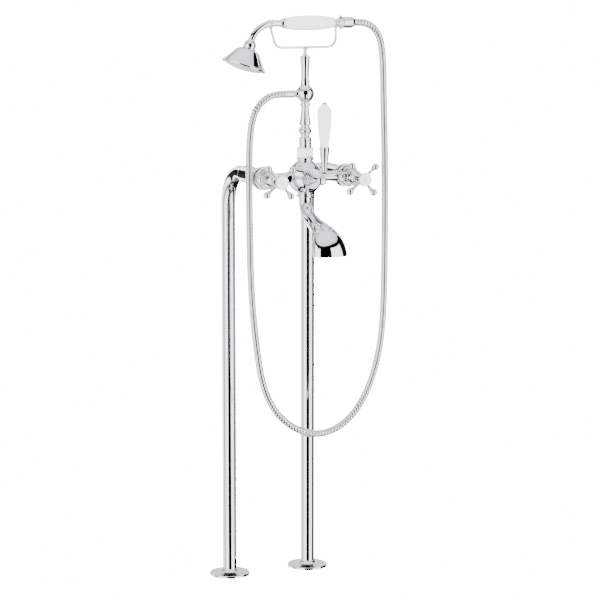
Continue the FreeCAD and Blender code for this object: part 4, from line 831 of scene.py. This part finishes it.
def letter(name, text, seat, body):
    words = bpy.data.curves.new(name, "FONT")
    words.body = text
    words.align_x = "CENTER"
    words.align_y = "CENTER"
    words.size = LETTER_HEIGHT / CAPITAL_SHARE
    words.extrude = LETTER_THICKNESS * MM / 2
    words.resolution_u = LETTER_RESOLUTION
    holder = bpy.data.objects.new(name, words)
    mesh = bpy.data.meshes.new_from_object(holder)
    bpy.data.objects.remove(holder)
    shape = bmesh.new()
    shape.from_mesh(mesh)
    bpy.data.meshes.remove(mesh)
    bmesh.ops.remove_doubles(shape, verts=shape.verts, dist=WELD_DISTANCE)
    bmesh.ops.triangulate(shape, faces=[face for face in shape.faces if len(face.verts) > 4])
    for vertex in shape.verts:
        radius = vertex.co.xy.length / MM
        vertex.co.z += (dome_height(radius) + LETTER_THICKNESS * LETTER_LIFT) * MM
    matrix = Matrix((RIGHT, UP, FRONT)).transposed().to_4x4()
    bmesh.ops.recalc_face_normals(shape, faces=shape.faces)
    finish_piece(name, shape, Matrix.Translation(seat) @ matrix, body, ENAMEL)


for side, text in (("hot", "H"), ("cold", "C")):
    letter(f"{side}_letter", text, cap_seat(side), f"{side}_handle")
print("letters set")


# %% [markdown]
# ## The spray face and its nozzles
#
# The shower's face is a plate that bulges below the bell's rim, with rings of small rubber
# nozzles that can be rubbed clean. Each nozzle is a short cone, most of it in the face.
# They lie on circles about the head's axis, and all of them go into one mesh.

# %% The spray face
HEAD_TILT = math.radians(18.7)
HEAD_SEAT = Vector((-96.39 * MM, BODY_Y, 955.82 * MM))
FACE_RIM = 33.05
FACE_PLATE = 36.0
FACE_BACK = -44.0
FACE_FOOT = -46.5
FACE_BULGE = 5.5
FACE_LIP = 0.4
FACE_ROUND = 0.8
DOME_EDGE = 0.985
NOZZLE_SINK = 0.2
NOZZLE_STEPS = 12
NOZZLE_RINGS = ((0.28, 6), (0.56, 12), (0.84, 20))
NOZZLE = [(0.0, -0.9), (0.35, -0.9), (0.62, -0.5), (0.95, 0.9), (0.0, 0.9)]
head_axis = Vector((math.sin(HEAD_TILT), 0, math.cos(HEAD_TILT)))


def face_drop(radius):
    """How far the face stands below its rim plane at a radius, in millimetres."""
    globe = (FACE_RIM ** 2 + FACE_BULGE ** 2) / (2 * FACE_BULGE)
    return FACE_BULGE - globe + math.sqrt(globe ** 2 - radius ** 2)


def dome_rings(steps=12):
    """The face's outline from its rim to its middle."""
    radii = [FACE_RIM * (1 - step / steps) for step in range(steps + 1)]
    return [(radius * DOME_EDGE, FACE_FOOT - FACE_LIP - face_drop(radius)) for radius in radii]


def nozzle_shape():
    shape = bmesh.new()
    for share, count in NOZZLE_RINGS:
        radius = FACE_RIM * share
        for number in range(count):
            angle = 2 * math.pi * number / count
            foot = Vector((radius * math.cos(angle), radius * math.sin(angle),
                           FACE_FOOT + NOZZLE_SINK - face_drop(radius))) * MM
            single = lathe_mesh(NOZZLE, steps=NOZZLE_STEPS)
            single.transform(Matrix.Translation(foot))
            mesh = bpy.data.meshes.new("nozzle")
            single.to_mesh(mesh)
            single.free()
            shape.from_mesh(mesh)
            bpy.data.meshes.remove(mesh)
    return shape


turned("domed_spray_face", [
    (0.0, FACE_BACK), (FACE_PLATE, FACE_BACK), (FACE_PLATE, FACE_FOOT, FACE_ROUND),
    (FACE_RIM, FACE_FOOT - FACE_LIP, FACE_LIP), *dome_rings(),
], HEAD_SEAT, head_axis, "handset", NOZZLE_FACE, replaced=("spray_plate",))
finish_piece("spray_nozzles", nozzle_shape(), placed(HEAD_SEAT, head_axis), "handset", RUBBER)
print("spray face with %d nozzles" % sum(count for _, count in NOZZLE_RINGS))


# %% [markdown]
# ## The trumpet under the cradle
#
# The riser leaves its ball as a slender waist and flares again under the cradle. The
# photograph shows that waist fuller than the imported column, so a closed sleeve lies round
# it.

# %% The trumpet
def sleeve(heights, radii, inside):
    """A closed ring outline in millimetres: up the outside, and down inside."""
    outer = list(zip(radii, heights))
    return [(inside, heights[0]), *outer, (inside, heights[-1])]


TRUMPET_HEIGHTS = (877.5, 882, 890, 900, 910, 920, 927.6)
TRUMPET_RADII = (8.6, 7.6, 6.8, 6.9, 7.4, 8.2, 8.8)
TRUMPET_INSIDE = 5.2
turned("riser_trumpet", sleeve(TRUMPET_HEIGHTS, TRUMPET_RADII, TRUMPET_INSIDE),
       Vector((0, BODY_Y, 0)), UP, "stand", closed=True)
print("trumpet laid round the riser")


# %% [markdown]
# ## The lever's cup
#
# The lever's stem swells from its bend up to the porcelain grip, as a long cup turned in
# one piece with it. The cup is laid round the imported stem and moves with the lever.

# %% The lever's cup
CUP_HEIGHTS = (-40, -32, -22, -12, -4, -0.1)
CUP_RADII = (4.3, 5.2, 6.6, 7.8, 8.7, 9.0)
CUP_INSIDE = 3.4
grip_low, grip_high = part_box("lever_grip")
grip_foot = Vector(((grip_low.x + grip_high.x) / 2, (grip_low.y + grip_high.y) / 2, grip_low.z))
turned("lever_cup", sleeve(CUP_HEIGHTS, CUP_RADII, CUP_INSIDE), grip_foot, UP,
       "diverter_lever", closed=True)
print("cup under the grip at %.1f mm" % (grip_low.z / MM))


# %% [markdown]
# ## The end
#

# %% Finish
print("dressing done")
